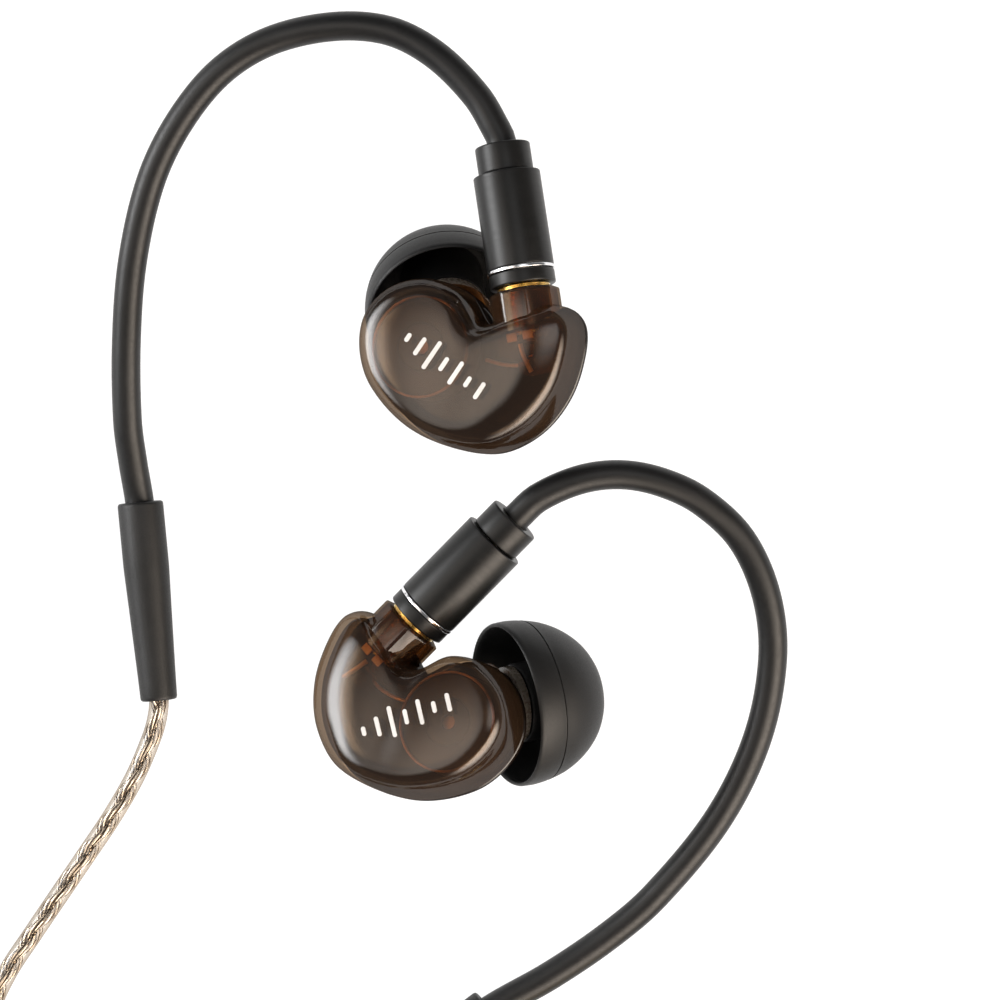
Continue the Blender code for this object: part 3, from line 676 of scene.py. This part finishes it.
def make_outer_shell(side):
    """The faceplate half: wall, rolled edge, low-domed face, and the faceted neck."""
    sign = SIGNS[side]
    wall_rows = [(0.10, SPLIT_W, 0.0), (0.0, SPLIT_W + 0.12, 0.0), (0.0, -0.5, 0.0),
                 (0.03, 0.6, 0.2), (0.08, 1.5, 0.5), (0.15, 2.1, 0.8), (0.26, 2.52, 1.0),
                 (0.40, 2.82, 1.0), (0.55, 3.03, 1.0), (0.66, 3.15, 1.0)]
    outer = [wall_ring(sign, inset, w, share) for inset, w, share in wall_rows]
    outer += [face_ring(sign, 0.75, k) for k in
              (1.0, 0.98, 0.955, 0.925, 0.89, 0.85, 0.80, 0.74, 0.67, 0.59, 0.50, 0.41, 0.32,
               0.24, 0.16, 0.08, 0.0)]
    inner_rows = [(0.45, SPLIT_W, 0.0), (WALL, SPLIT_W + 0.2, 0.0), (WALL, 0.3, 0.1),
                  (0.65, 1.5, 0.5), (0.9, 2.1, 1.0), (1.2, 2.45, 1.0)]
    inner = [wall_ring(sign, inset, w, share) for inset, w, share in inner_rows]
    inner += [face_ring(sign, 1.4, k, 0.7) for k in
              (1.0, 0.93, 0.85, 0.76, 0.67, 0.56, 0.45, 0.34, 0.23, 0.12, 0.0)]
    mesh = half_shell(side + "_outer_visual", outer, inner)
    along = axis_matrix((0, 0, 0), (0, 1, 0))
    neck = prism_mesh("neck", 8, NECK_R + 0.05, NECK_FOOT, NECK_TOP, 0.22)
    bore = cylinder_mesh("bore", 1.95, -6.0, 1.0)
    turn = Matrix.Rotation(math.radians(22.5), 4, "Z")
    mesh = with_booleans(side + "_outer_visual", mesh,
                         [("UNION", neck, along @ turn), ("DIFFERENCE", bore, along)])
    piece(side + "_outer_shell_visual", mesh, FINISHES["smoke"], side + "_earphone",
          [side + "_outer_shell"], side_matrix(side))


def make_inner_shell(side):
    """The ear half: a rounded bowl that runs into the nozzle."""
    sign = SIGNS[side]
    rows = [(-1.62, 0.990), (-1.7, 0.998), (-2.1, 0.995), (-2.7, 0.968), (-3.3, 0.915),
            (-3.85, 0.83), (-4.35, 0.71), (-4.7, 0.56), (-4.9, 0.39), (-4.98, 0.2), (-5.0, 0.0)]
    outer = [ring(sign, w, 0.0, k) for w, k in rows]
    inner = [ring(sign, w + 0.6 * (k < 0.99), WALL, k) for w, k in rows]
    mesh = half_shell(side + "_inner_visual", outer, inner)
    along = axis_matrix(mirrored(side, RIM_CENTRE) * MM, mirrored(side, TIP_PARTS))
    profile = [(0, 4.0), (2.35, 4.0), (2.62, 3.8), (2.66, 3.5), (2.45, 3.2), (2.45, 1.4),
               (2.6, 0.3), (3.0, -0.9), (3.5, -2.0), (3.6, -3.2), (0, -3.2)]
    spout = make_mesh("spout", *turned_data(profile, 72, 0.25))
    way = cylinder_mesh("way", 1.8, -4.0, 6.0)
    neck_room = cylinder_mesh("neck_room", NECK_R + 0.12, -6.0, 1.0)
    mesh = with_booleans(side + "_inner_visual", mesh,
                         [("UNION", spout, along), ("DIFFERENCE", way, along),
                          ("DIFFERENCE", neck_room, axis_matrix((0, 0, 0), (0, 1, 0)))])
    piece(side + "_inner_shell_visual", mesh, FINISHES["smoke_deep"], side + "_earphone",
          [side + "_inner_shell"], side_matrix(side))


def make_face_mark(side):
    """A plain row of level bars, printed on the faceplate."""
    sign = SIGNS[side]
    middle, across = (np.array(pair) for pair in MARKS[side])
    up = np.array((-across[1], across[0]))
    sets = []
    for i, height in enumerate(BAR_HEIGHTS):
        offset = (i - 3) * BAR_PITCH
        reach = max(height / 2 - BAR_HALF, 0.0)
        flat = np.array([(offset + BAR_HALF * math.cos(t),
                          reach * (1 if math.sin(t) >= 0 else -1) + BAR_HALF * math.sin(t))
                         for t in np.linspace(0, math.tau, 24, endpoint=False)])
        spots = middle + flat[:, :1] * across + flat[:, 1:] * up
        levels = FACE_W + face_rise(spots)
        low, high = (np.column_stack([spots[:, 0] * sign, spots[:, 1], levels + lift])
                     for lift in (BAR_FOOT, BAR_TOP))
        points, faces = loft_data([low, high])
        sets.append((points, faces, np.zeros((sum(len(f) for f in faces), 2))))
    points, faces, _ = joined(sets)
    mesh = facing_out(make_mesh(side + "_face_mark", points, faces))
    piece(side + "_face_mark", mesh, FINISHES["print"], side + "_earphone", (),
          side_matrix(side))


# ---------------------------------------------------------------- turned pieces

def turned_piece(name, profile, finish, body, nodes, matrix, ease=0.05, steps=96):
    """A piece turned about Z, its corners eased."""
    mesh = make_mesh(name, *turned_data(profile, steps, ease))
    return piece(name, mesh, FINISHES[finish], body, nodes, matrix)


def make_ear_tip(side):
    """The soft dome: rounded rim, fine mould line, open underside and its stem."""
    dome = spline([(6.9, 0.25), (6.93, 1.2), (6.78, 2.4), (6.38, 3.9), (5.6, 5.4), (4.5, 6.7),
                   (3.3, 7.55), (2.6, 7.84)], 40).tolist()
    groove = min(range(len(dome)), key=lambda i: abs(dome[i][1] - 2.3))
    r, h = dome[groove]
    dome[groove:groove + 1] = [(r + 0.004, h - 0.07), (r - 0.09, h - 0.03), (r - 0.09, h + 0.03),
                               (r - 0.004, h + 0.07)]
    front = [(2.25, 7.86), (1.98, 7.6), (1.95, 7.2), (1.95, 4.7), (2.3, 4.5), (2.72, 4.3),
             (2.72, 1.15), (2.85, 1.0), (3.25, 1.0), (3.35, 1.2), (3.35, 5.2), (3.55, 5.75)]
    under = spline([(3.95, 6.0), (4.9, 5.4), (5.75, 4.2), (6.25, 2.7), (6.52, 1.3),
                    (6.56, 0.2)], 16).tolist()
    rim = [(6.62, 0.06), (6.72, 0.0), (6.82, 0.06)]
    turned_piece(side + "_ear_tip_visual", dome + front + under + rim, "silicone",
                 side + "_tip", [side + "_ear_tip"],
                 local_axis(side, RIM_CENTRE, TIP_PARTS), 0.0, 128)


def make_connector(side):
    """Socket behind the face, and the barrel stack on the cable's end."""
    barrel = local_axis(side, (0, 0, 0), (0, 1, 0))
    ear, root = side + "_earphone", "root"
    rows = [
        ("socket", [(1.8, -0.55), (1.8, -4.2), (0.7, -4.2), (0.7, -3.6), (1.32, -3.6),
                    (1.32, -0.55)], "gold", ear, "gold_plate"),
        ("socket_contact", [(0, -3.4), (0.28, -3.4), (0.28, -2.2), (0.5, -2.2), (0.5, -4.6),
                            (0, -4.6)], "gold", ear, "gold_plate"),
        ("connector_plug", [(0.75, 3.0), (1.5, 3.0), (1.5, -0.03), (2.12, -0.03), (2.22, -0.09),
                            (2.08, -0.15), (2.22, -0.22), (2.08, -0.28), (2.2, -0.34),
                            (2.12, -0.39), (1.12, -0.39), (1.12, -1.05), (0.9, -1.05),
                            (0.9, -1.5), (1.12, -1.5), (1.12, -2.0), (0.75, -2.0)],
         "gold", root, "gold_plate"),
        ("snap_ring", [(1.22, -1.12), (1.22, -1.42), (1.0, -1.42), (1.0, -1.12)], "silver",
         side + "_swivel", "polished_steel"),
        ("plug_pin", [(0, -3.2), (0.18, -3.2), (0.18, -0.2), (0.45, -0.2), (0.45, 2.6),
                      (0, 2.6)], "gold", root, "gold_plate"),
        ("end_collar", [(2.72, COLLAR_TOP), (2.72, 0.0), (BORE_R, 0.0), (BORE_R, COLLAR_TOP)],
         "black_metal", root, "black_metal"),
        ("accent_ring", [(2.82, RING_TOP), (2.82, COLLAR_TOP + 0.04),
                         (BORE_R, COLLAR_TOP + 0.04), (BORE_R, RING_TOP)], "silver", root,
         "polished_steel"),
        ("barrel", [(BORE_R, BARREL_TOP), (2.77, BARREL_TOP), (2.77, RING_TOP + 0.04),
                    (BORE_R, RING_TOP + 0.04)], "black_metal", root, "black_metal"),
        ("top_collar", [(2.28, BARREL_TOP + 0.05), (2.28, TOP_COLLAR_TOP),
                        (HOOK_R + 0.12, TOP_COLLAR_TOP), (HOOK_R + 0.12, BARREL_TOP + 0.05)],
         "black_metal", root, "black_metal"),
    ]
    eases = {"end_collar": 0.14, "barrel": 0.12, "top_collar": 0.18, "accent_ring": 0.05}
    for name, profile, finish, body, slot in rows:
        turned_piece(f"{side}_{name}_visual", profile, finish, body,
                     [f"{side}_{name}"], barrel, eases.get(name, 0.03))


def make_driver(side):
    """The driver seen through the shell, with its copper ring, and the nozzle's guard."""
    place = local_axis(side, DRIVER_CENTRE, (0, 0, 1))
    wall, edge = DRIVER_R - 0.35, DRIVER_R - 0.2
    rows = [
        ("driver_basket", [(DRIVER_R, 1.4), (DRIVER_R, -1.3), (wall, -1.3), (wall, 1.0),
                           (0.6, 1.0), (0.6, 1.4), (1.9, 1.4), (1.95, 1.32), (2.05, 1.32),
                           (2.1, 1.4)], "dark", "driver_metal"),
        ("magnet", [(0, 0.88), (2.3, 0.88), (2.3, -0.3), (0, -0.3)], "copper", "magnet_steel"),
        ("voice_coil", [(2.65, 0.3), (2.65, -0.98), (2.45, -0.98), (2.45, 0.3)], "copper",
         "copper"),
        ("diaphragm", [(0, -0.75), (1.6, -0.95), (2.55, -1.15), (3.0, -0.9), (3.55, -1.1),
                       (3.55, -1.2), (3.0, -1.0), (2.55, -1.25), (1.6, -1.05), (0, -0.85)],
         "film", "diaphragm_film"),
        ("driver_ring", [(DRIVER_R, 1.7), (DRIVER_R, 1.45), (edge, 1.45), (edge, 1.7)], "ring",
         "copper"),
    ]
    for name, profile, finish, slot in rows:
        turned_piece(f"{side}_{name}_visual", profile, finish, side + "_earphone",
                     [f"{side}_{name}"], place)
    guard = [(0, 3.7), (1.7, 3.7), (1.7, 3.45), (0, 3.45)]
    turned_piece(side + "_nozzle_mesh_visual", guard, "mesh", side + "_earphone",
                 [side + "_nozzle_mesh"], local_axis(side, RIM_CENTRE, TIP_PARTS))


def make_inside(side):
    """What shows through the smoke: the amber socket housing, its pads and leads."""
    place = side_matrix(side)
    blocks = [
        ("socket_housing", (0.0, -4.9, 0.1), (4.6, 1.5, 3.6), 0.25, "amber", "smoke_shell"),
        ("socket_ledge", (-0.6, -6.6, -0.2), (3.4, 1.2, 2.8), 0.2, "amber", "smoke_shell"),
        ("pad_near", (0.95, -4.3, 2.0), (0.9, 0.75, 0.12), 0.05, "copper", "copper"),
        ("pad_far", (-0.45, -4.3, 2.0), (0.9, 0.75, 0.12), 0.05, "copper", "copper"),
    ]
    for name, centre, size, ease, finish, slot in blocks:
        mesh = block_mesh(f"{side}_{name}", size, ease)
        spot = Matrix.Translation(mirrored(side, centre) * MM)
        piece(f"{side}_{name}", mesh, FINISHES[finish], side + "_earphone", (),
              place @ spot)
    leads = [([(0.0, -4.9, 0.0), (0.3, -5.6, -0.3), (1.3, -6.2, -0.6), (2.9, -5.9, -0.8),
               (4.4, -5.2, -0.7)], 0.17, [side + "_lead_wire"]),
             ([(0.3, -5.0, 2.05), (0.15, -6.0, 2.1), (-0.25, -7.4, 1.9)], 0.2, ())]
    for i, (knots, radius, nodes) in enumerate(leads):
        name = f"{side}_lead_{i + 1}"
        route = spline(np.array(knots) * (SIGNS[side], 1, 1), 24)
        mesh = make_mesh(name, *tube_data(route, radius, 12))
        piece(name, mesh, FINISHES["copper"], side + "_earphone", nodes, place)
    collar = local_axis(side, (0, 0, 0), (0, 1, 0))
    nozzle = local_axis(side, RIM_CENTRE, TIP_PARTS)
    rings = [
        ("socket_sleeve", [(2.7, -0.62), (2.7, -3.9), (1.98, -3.9), (1.98, -0.62)], "amber",
         "smoke_shell", collar),
        ("nozzle_lip", [(3.2, 0.88), (3.2, 0.2), (2.7, 0.05), (2.7, 0.88)], "lip", "smoke_shell",
         nozzle),
        # The bead is a real ridge that catches light, and its amber colour is a painted highlight:
        # it stands in for the amber highlight line along the inner shell.
        ("nozzle_highlight_bead", [(3.7, -0.9), (3.7, -1.1), (3.1, -1.1), (3.1, -0.9)], "amber",
         "smoke_shell", nozzle),
    ]
    for name, profile, finish, slot, spot in rings:
        turned_piece(f"{side}_{name}", profile, finish, side + "_earphone", (), spot, 0.08)


def make_sleeve(side):
    """The tapered sleeve between hook and cable, softly rounded at both ends."""
    length = SLEEVE_LENGTH
    wide, narrow = HOOK_R + 0.04, CABLE_R + 0.04
    profile = [(1.93, 0.0), (1.93, 5.5), (1.8, 9.0), (1.6, length - 2.0), (1.55, length),
               (narrow, length), (narrow, 6.0), (wide, 5.4), (wide, 0.0)]
    place = axis_matrix(on_table(SLEEVES[side]["top"]), SLEEVES[side]["along"])
    turned_piece(side + "_sleeve_visual", profile, "sleeve", "root",
                 [side + "_sleeve"], place, 0.42)


# ---------------------------------------------------------------- hooks and cords

def make_hook(side):
    """The formed hook from the top collar to the sleeve."""
    barrel = JOINTS[side + "_swivel_turn"]
    foot = np.array(barrel["pos_m"]) / MM + np.array(SET_CENTRE)
    along = np.array(Vector(barrel["axis"]).normalized())
    down = np.array(Vector(SLEEVES[side]["along"]).normalized())
    top = np.array(SLEEVES[side]["top"])
    start, root = foot + along * (BARREL_TOP + 0.25), foot + along * (TOP_COLLAR_TOP + 0.4)
    knots = [start, root, *HOOKS[side], top + down * 3.0]
    path = on_table(spaced(spline(knots, 400), 0.6)) / MM
    name = side + "_ear_hook_visual"
    mesh = make_mesh(name, *tube_data(path, HOOK_R, 32))
    piece(name, mesh, FINISHES["hook"], "root", [side + "_ear_hook"])


def coil_path(data):
    """The turns of a round coil: in on one layer, out on the next, from angle to angle."""
    wire = data["wire"]
    inner = data["mean"] - TURNS_IN_LAYER * wire
    outer = data["mean"] + TURNS_IN_LAYER * wire
    first, last = data["angles"]
    whole = TURNS_IN_LAYER * data["layers"]
    extra = (last - first) / 360.0
    total = whole + extra
    turns = np.linspace(0.0, total, int(total * 72))
    part = turns / total * data["layers"]
    layer = np.minimum(np.floor(part), data["layers"] - 1)
    share = part - layer
    inwards = layer % 2 == 0
    radius = np.where(inwards, outer + (inner - outer) * share, inner + (outer - inner) * share)
    climb = np.clip((share - 0.93) / 0.14, 0.0, 0.5) + np.clip((0.07 - share) / 0.14, 0.0, 0.5)
    lift = np.where(share > 0.5, climb, -climb)
    lift = np.where((layer == 0) & (share < 0.5), 0.0, lift)
    lift = np.where((layer == data["layers"] - 1) & (share > 0.5), 0.0, lift)
    height = wire + 0.03 + 2 * wire * (layer + lift)
    angle = np.radians(first) + turns * math.tau
    middle = data["middle"]
    return np.column_stack([middle[0] + radius * np.cos(angle),
                            middle[1] + radius * np.sin(angle), height])


def whole_route(before, coil, after):
    """One smooth line through the way in, the coil's turns and the way out."""
    lead = spline(before, 12 * len(before))
    tail = spline(after, 12 * len(after))
    turns = coil_path(coil)
    way_in = spline([lead[-2], lead[-1], turns[0], turns[1]], 40)
    way_out = spline([turns[-2], turns[-1], tail[0], tail[1]], 40)
    route = np.concatenate([lead[:-2], way_in, turns[2:-2], way_out, tail[2:]])
    return spaced(route, 0.5)


def make_cord(name, route, radius, nodes):
    """A clear jacket over two twisted bright strands."""
    path = on_table(route) / MM
    jacket = piece(name + "_jacket", make_mesh(name + "_jacket", *tube_data(path, radius, 14)),
                   FINISHES["jacket"], "root", nodes)
    strand_r = radius * STRAND_SHARE
    sets = [tube_data(helix_about(path, strand_r, phase, TWIST_PITCH), strand_r, 8)
            for phase in (0.0, math.pi)]
    strands = piece(name + "_strands", make_mesh(name + "_strands", *joined(sets)),
                    FINISHES["strand"], "root")


def make_tie(name, coil, angle):
    """A soft strap round a coil's turns, at an angle about its middle."""
    wire = coil["wire"]
    wide = (TURNS_IN_LAYER + 0.55) * wire + TIE_THICKNESS
    high = 2 * wire * coil["layers"] + 0.06 + 2 * TIE_THICKNESS
    loops = []
    for inset in (0.0, TIE_THICKNESS):
        half, top, foot = wide - inset, high - inset, 0.004 + inset * 0.1
        corner = min(TIE_CORNER, high / 2 - inset) - inset
        spots = []
        for cx, cz, start in ((half - corner, top - corner, 0), (corner - half, top - corner, 90),
                              (corner - half, foot + corner, 180),
                              (half - corner, foot + corner, 270)):
            for step in range(9):
                t = math.radians(start + step * 90 / 8)
                spots.append((cx + corner * math.cos(t), cz + corner * math.sin(t)))
        loops.append(spots)
    turn = math.radians(angle)
    out = np.array((math.cos(turn), math.sin(turn), 0.0))
    along = np.array((-math.sin(turn), math.cos(turn), 0.0))
    middle = np.array((*coil["middle"], 0.0)) + coil["mean"] * out

    def row(loop, offset):
        place = [middle + x * out + offset * along + (0, 0, z) for x, z in loop]
        return on_table(place) / MM

    half = TIE_WIDTH / 2
    rows = [row(loops[0], TIE_EASE - half), row(loops[0], half - TIE_EASE),
            row(loops[1], half), row(loops[1], -half)]
    mesh = smoothed(half_shell(name, rows[:2], rows[:1:-1]))
    return piece(name, mesh, FINISHES["tie"], "root")


def make_cords():
    """Both side cables, each from its sleeve to the splitter, and the main cable."""
    for side in SIGNS:
        down = np.array(Vector(SLEEVES[side]["along"]).normalized())
        way_out = [np.array(SLEEVES[side]["top"]) + down * (SLEEVE_LENGTH - depth)
                   for depth in SLEEVE_DEPTHS]
        route = whole_route([*way_out, *CABLE_ROUTES[side]], COILS[side], TAIL_ROUTES[side])
        nodes = [f"{side}_{part}" for part in ("cable", "cable_coil", "cable_tail")]
        tie = make_tie(side + "_coil_tie", COILS[side], TIE_ANGLES[side])
        make_cord(side + "_cord", route, CABLE_R, nodes)
    route = whole_route(MAIN_ROUTE, COILS["main"], MAIN_TAIL_ROUTE)
    tie = make_tie("main_coil_tie", COILS["main"], TIE_ANGLES["main"])
    make_cord("main_cord", route, MAIN_R, ["main_cable", "main_cable_coil", "main_cable_tail"])


def block_mesh(name, size, ease, waist=0.0):
    """A block with well rounded edges, its ends drawn in by the waist."""
    build = bmesh.new()
    bmesh.ops.create_cube(build, size=1.0)
    bmesh.ops.scale(build, vec=Vector(size) * MM, verts=build.verts)
    for vert in build.verts:
        if waist and vert.co.x > 0:
            vert.co.y *= 1.0 - waist
    bmesh.ops.bevel(build, geom=list(build.edges), offset=ease * MM, segments=6, profile=0.5,
                    affect="EDGES")
    return emptied(build, bpy.data.meshes.new(name))


def make_slider_and_splitter():
    """The slider on the two side cables and the splitter that they run into."""
    middle = (TWIN_Y["left"] + TWIN_Y["right"]) / 2
    place = Matrix.Translation(Vector(on_table((SLIDER_X, middle, TWIN_Z))))
    bores = []
    for y in TWIN_Y.values():
        bore = cylinder_mesh("slider_bore", CABLE_R + 0.1, -5.0, 5.0, 40)
        bores.append(("DIFFERENCE", bore, axis_matrix((0, (y - middle) * MM, 0), (1, 0, 0))))
    mesh = with_booleans("cable_slider_visual", block_mesh("slider", SLIDER_SIZE, 1.0), bores)
    piece("cable_slider_visual", mesh, FINISHES["black_metal"], "slider",
          ["cable_slider"], place)
    mesh = smoothed(block_mesh("y_splitter_visual", SPLITTER_SIZE, 1.1, 0.25))
    place = Matrix.Translation(Vector(on_table((SPLITTER_X, middle, TWIN_Z))))
    piece("y_splitter_visual", mesh, FINISHES["black_metal"], "root",
          ["y_splitter"], place)


def make_plug():
    """The straight plug: ribbed relief, barrel, and the three gold contacts."""
    place = axis_matrix(on_table(PLUG_END), (-1, 0, 0))
    relief = [(0, 0.0), (1.15, 0.0)]
    for i in range(4):
        base = 0.35 + i * 0.95
        radius = 1.3 + 0.13 * i
        relief += [(radius, base), (radius, base + 0.55), (radius - 0.22, base + 0.65),
                   (radius - 0.22, base + 0.85)]
    relief += [(1.8, 4.15), (1.8, 4.5), (0, 4.5)]
    barrel = [(0, 5.4), (1.5, 5.4), (1.5, 14.3), (1.9, 14.3), (1.9, 14.8), (2.82, 14.8),
              (3.0, 14.4), (3.0, 13.2), (2.92, 13.1), (2.92, 12.9), (3.0, 12.8), (3.0, 5.2),
              (2.7, 4.6), (0, 4.6)]
    sleeve = [(1.4, 6.0), (1.4, 14.5), (1.75, 14.5), (1.75, 22.0), (1.0, 22.0), (1.0, 6.0)]
    band = [(0.85, 6.4), (0.85, 22.3), (1.75, 22.3), (1.75, 24.6), (0.6, 24.6), (0.6, 6.4)]
    tip = [(0, 6.8), (0.45, 6.8), (0.45, 24.9), (1.75, 24.9), (1.75, 25.6), (1.2, 26.5),
           (1.72, 27.4), (0.7, 28.7), (0, 28.9)]
    rows = [("plug_relief", relief, "sleeve", "sleeve_rubber", 0.08),
            ("plug_barrel", barrel, "black_metal", "black_metal", 0.1),
            ("jack_sleeve", sleeve, "gold", "gold_plate", 0.06),
            ("jack_ring", band, "gold", "gold_plate", 0.06),
            ("jack_tip", tip, "gold", "gold_plate", 0.25)]
    return [turned_piece(name + "_visual", profile, finish, "root", [name], place, ease)
            for name, profile, finish, slot, ease in rows]


# ---------------------------------------------------------------- camera, light, floor

def softbox(name, target, azimuth, elevation, distance, size, radiance, tint=(1.0, 1.0, 1.0)):
    """A large light that fades towards its edges, at an azimuth and elevation in degrees."""
    data = bpy.data.lights.new(name, "AREA")
    data.shape = "RECTANGLE"
    data.size, data.size_y = size
    data.energy = radiance * math.pi * size[0] * size[1]
    data.color = tint
    data.use_nodes = True
    tree = data.node_tree
    place = add_node(tree, "NewGeometry").outputs["Parametric"]
    offset = add_node(tree, "VectorMath", place, (0.5, 0.5, 0.0), operation="SUBTRACT")
    reach = add_node(tree, "VectorMath", offset.outputs["Vector"], operation="LENGTH")
    fade = ramp(tree, reach.outputs["Value"], 1.0, 0.0, FADE_FROM, 0.5,
                interpolation_type="SMOOTHSTEP")
    settle(tree.nodes["Emission"], Strength=fade)
    lamp = linked(name, data)
    a, e = math.radians(azimuth), math.radians(elevation)
    way = Vector((math.cos(a) * math.cos(e), math.sin(a) * math.cos(e), math.sin(e)))
    lamp.location = Vector(target) + way * distance
    back = Vector(target) - lamp.location
    lamp.rotation_euler = back.to_track_quat("-Z", "Y").to_euler()


def make_stage():
    """The camera straight above, the pale floor, four soft lights and a dim world."""
    centre = -SET_CENTRE * MM
    data = bpy.data.cameras.new("camera")
    camera = linked("camera", data)
    camera.location = (centre.x, centre.y, (SHARP_HEIGHT + VIEW_HEIGHT) * MM)
    data.sensor_width = SENSOR_WIDTH
    data.lens = SENSOR_WIDTH * VIEW_HEIGHT / VIEW_WIDTH
    data.clip_start = 0.01
    bpy.context.scene.camera = camera

    mesh = bpy.data.meshes.new("floor")
    half = FLOOR_HALF_M
    mesh.from_pydata([(-half, -half, 0), (half, -half, 0), (half, half, 0), (-half, half, 0)],
                     [], [[0, 1, 2, 3]])
    floor = linked("floor", mesh)
    floor.location.z = FLOOR_DROP_M
    material, _, shader = new_material("floor_finish")
    settle(shader, Base_Color=(0.16, 0.16, 0.16, 1.0), Roughness=0.9, Specular_IOR_Level=0.1,
           Emission_Color=WHITE, Emission_Strength=0.96)
    mesh.materials.append(material)

    target = tuple(centre)
    softbox("rim", target, 170.0, 20.0, 0.55, (0.54, 0.42), 13.0)
    softbox("band", target, -46.0, 35.0, 0.50, (1.15, 0.58), 8.5, (1.0, 0.87, 0.74))
    softbox("face", target, 176.0, 54.0, 0.60, (0.60, 0.50), 2.2, (1.0, 0.90, 0.80))
    softbox("top", target, 60.0, 74.0, 0.60, (0.50, 0.40), 1.6)
    world = bpy.data.worlds.new("studio")
    bpy.context.scene.world = world
    world.use_nodes = True
    settle(world.node_tree.nodes["Background"], Color=WHITE, Strength=0.15)
    bpy.context.scene.view_settings.view_transform = "Standard"


def main():
    """Make everything: the camera first, then the plug and the cords."""
    make_stage()
    plug_pieces = make_plug()
    make_cords()
    make_slider_and_splitter()
    for side in SIGNS:
        make_outer_shell(side)
        make_inner_shell(side)
        make_face_mark(side)
        make_ear_tip(side)
        make_connector(side)
        make_driver(side)
        make_inside(side)
        make_hook(side)
        make_sleeve(side)
        core = frame["nodes"][side + "_hook_core"]
        core.data.materials.clear()
        core.data.materials.append(FINISHES["copper"])


main()
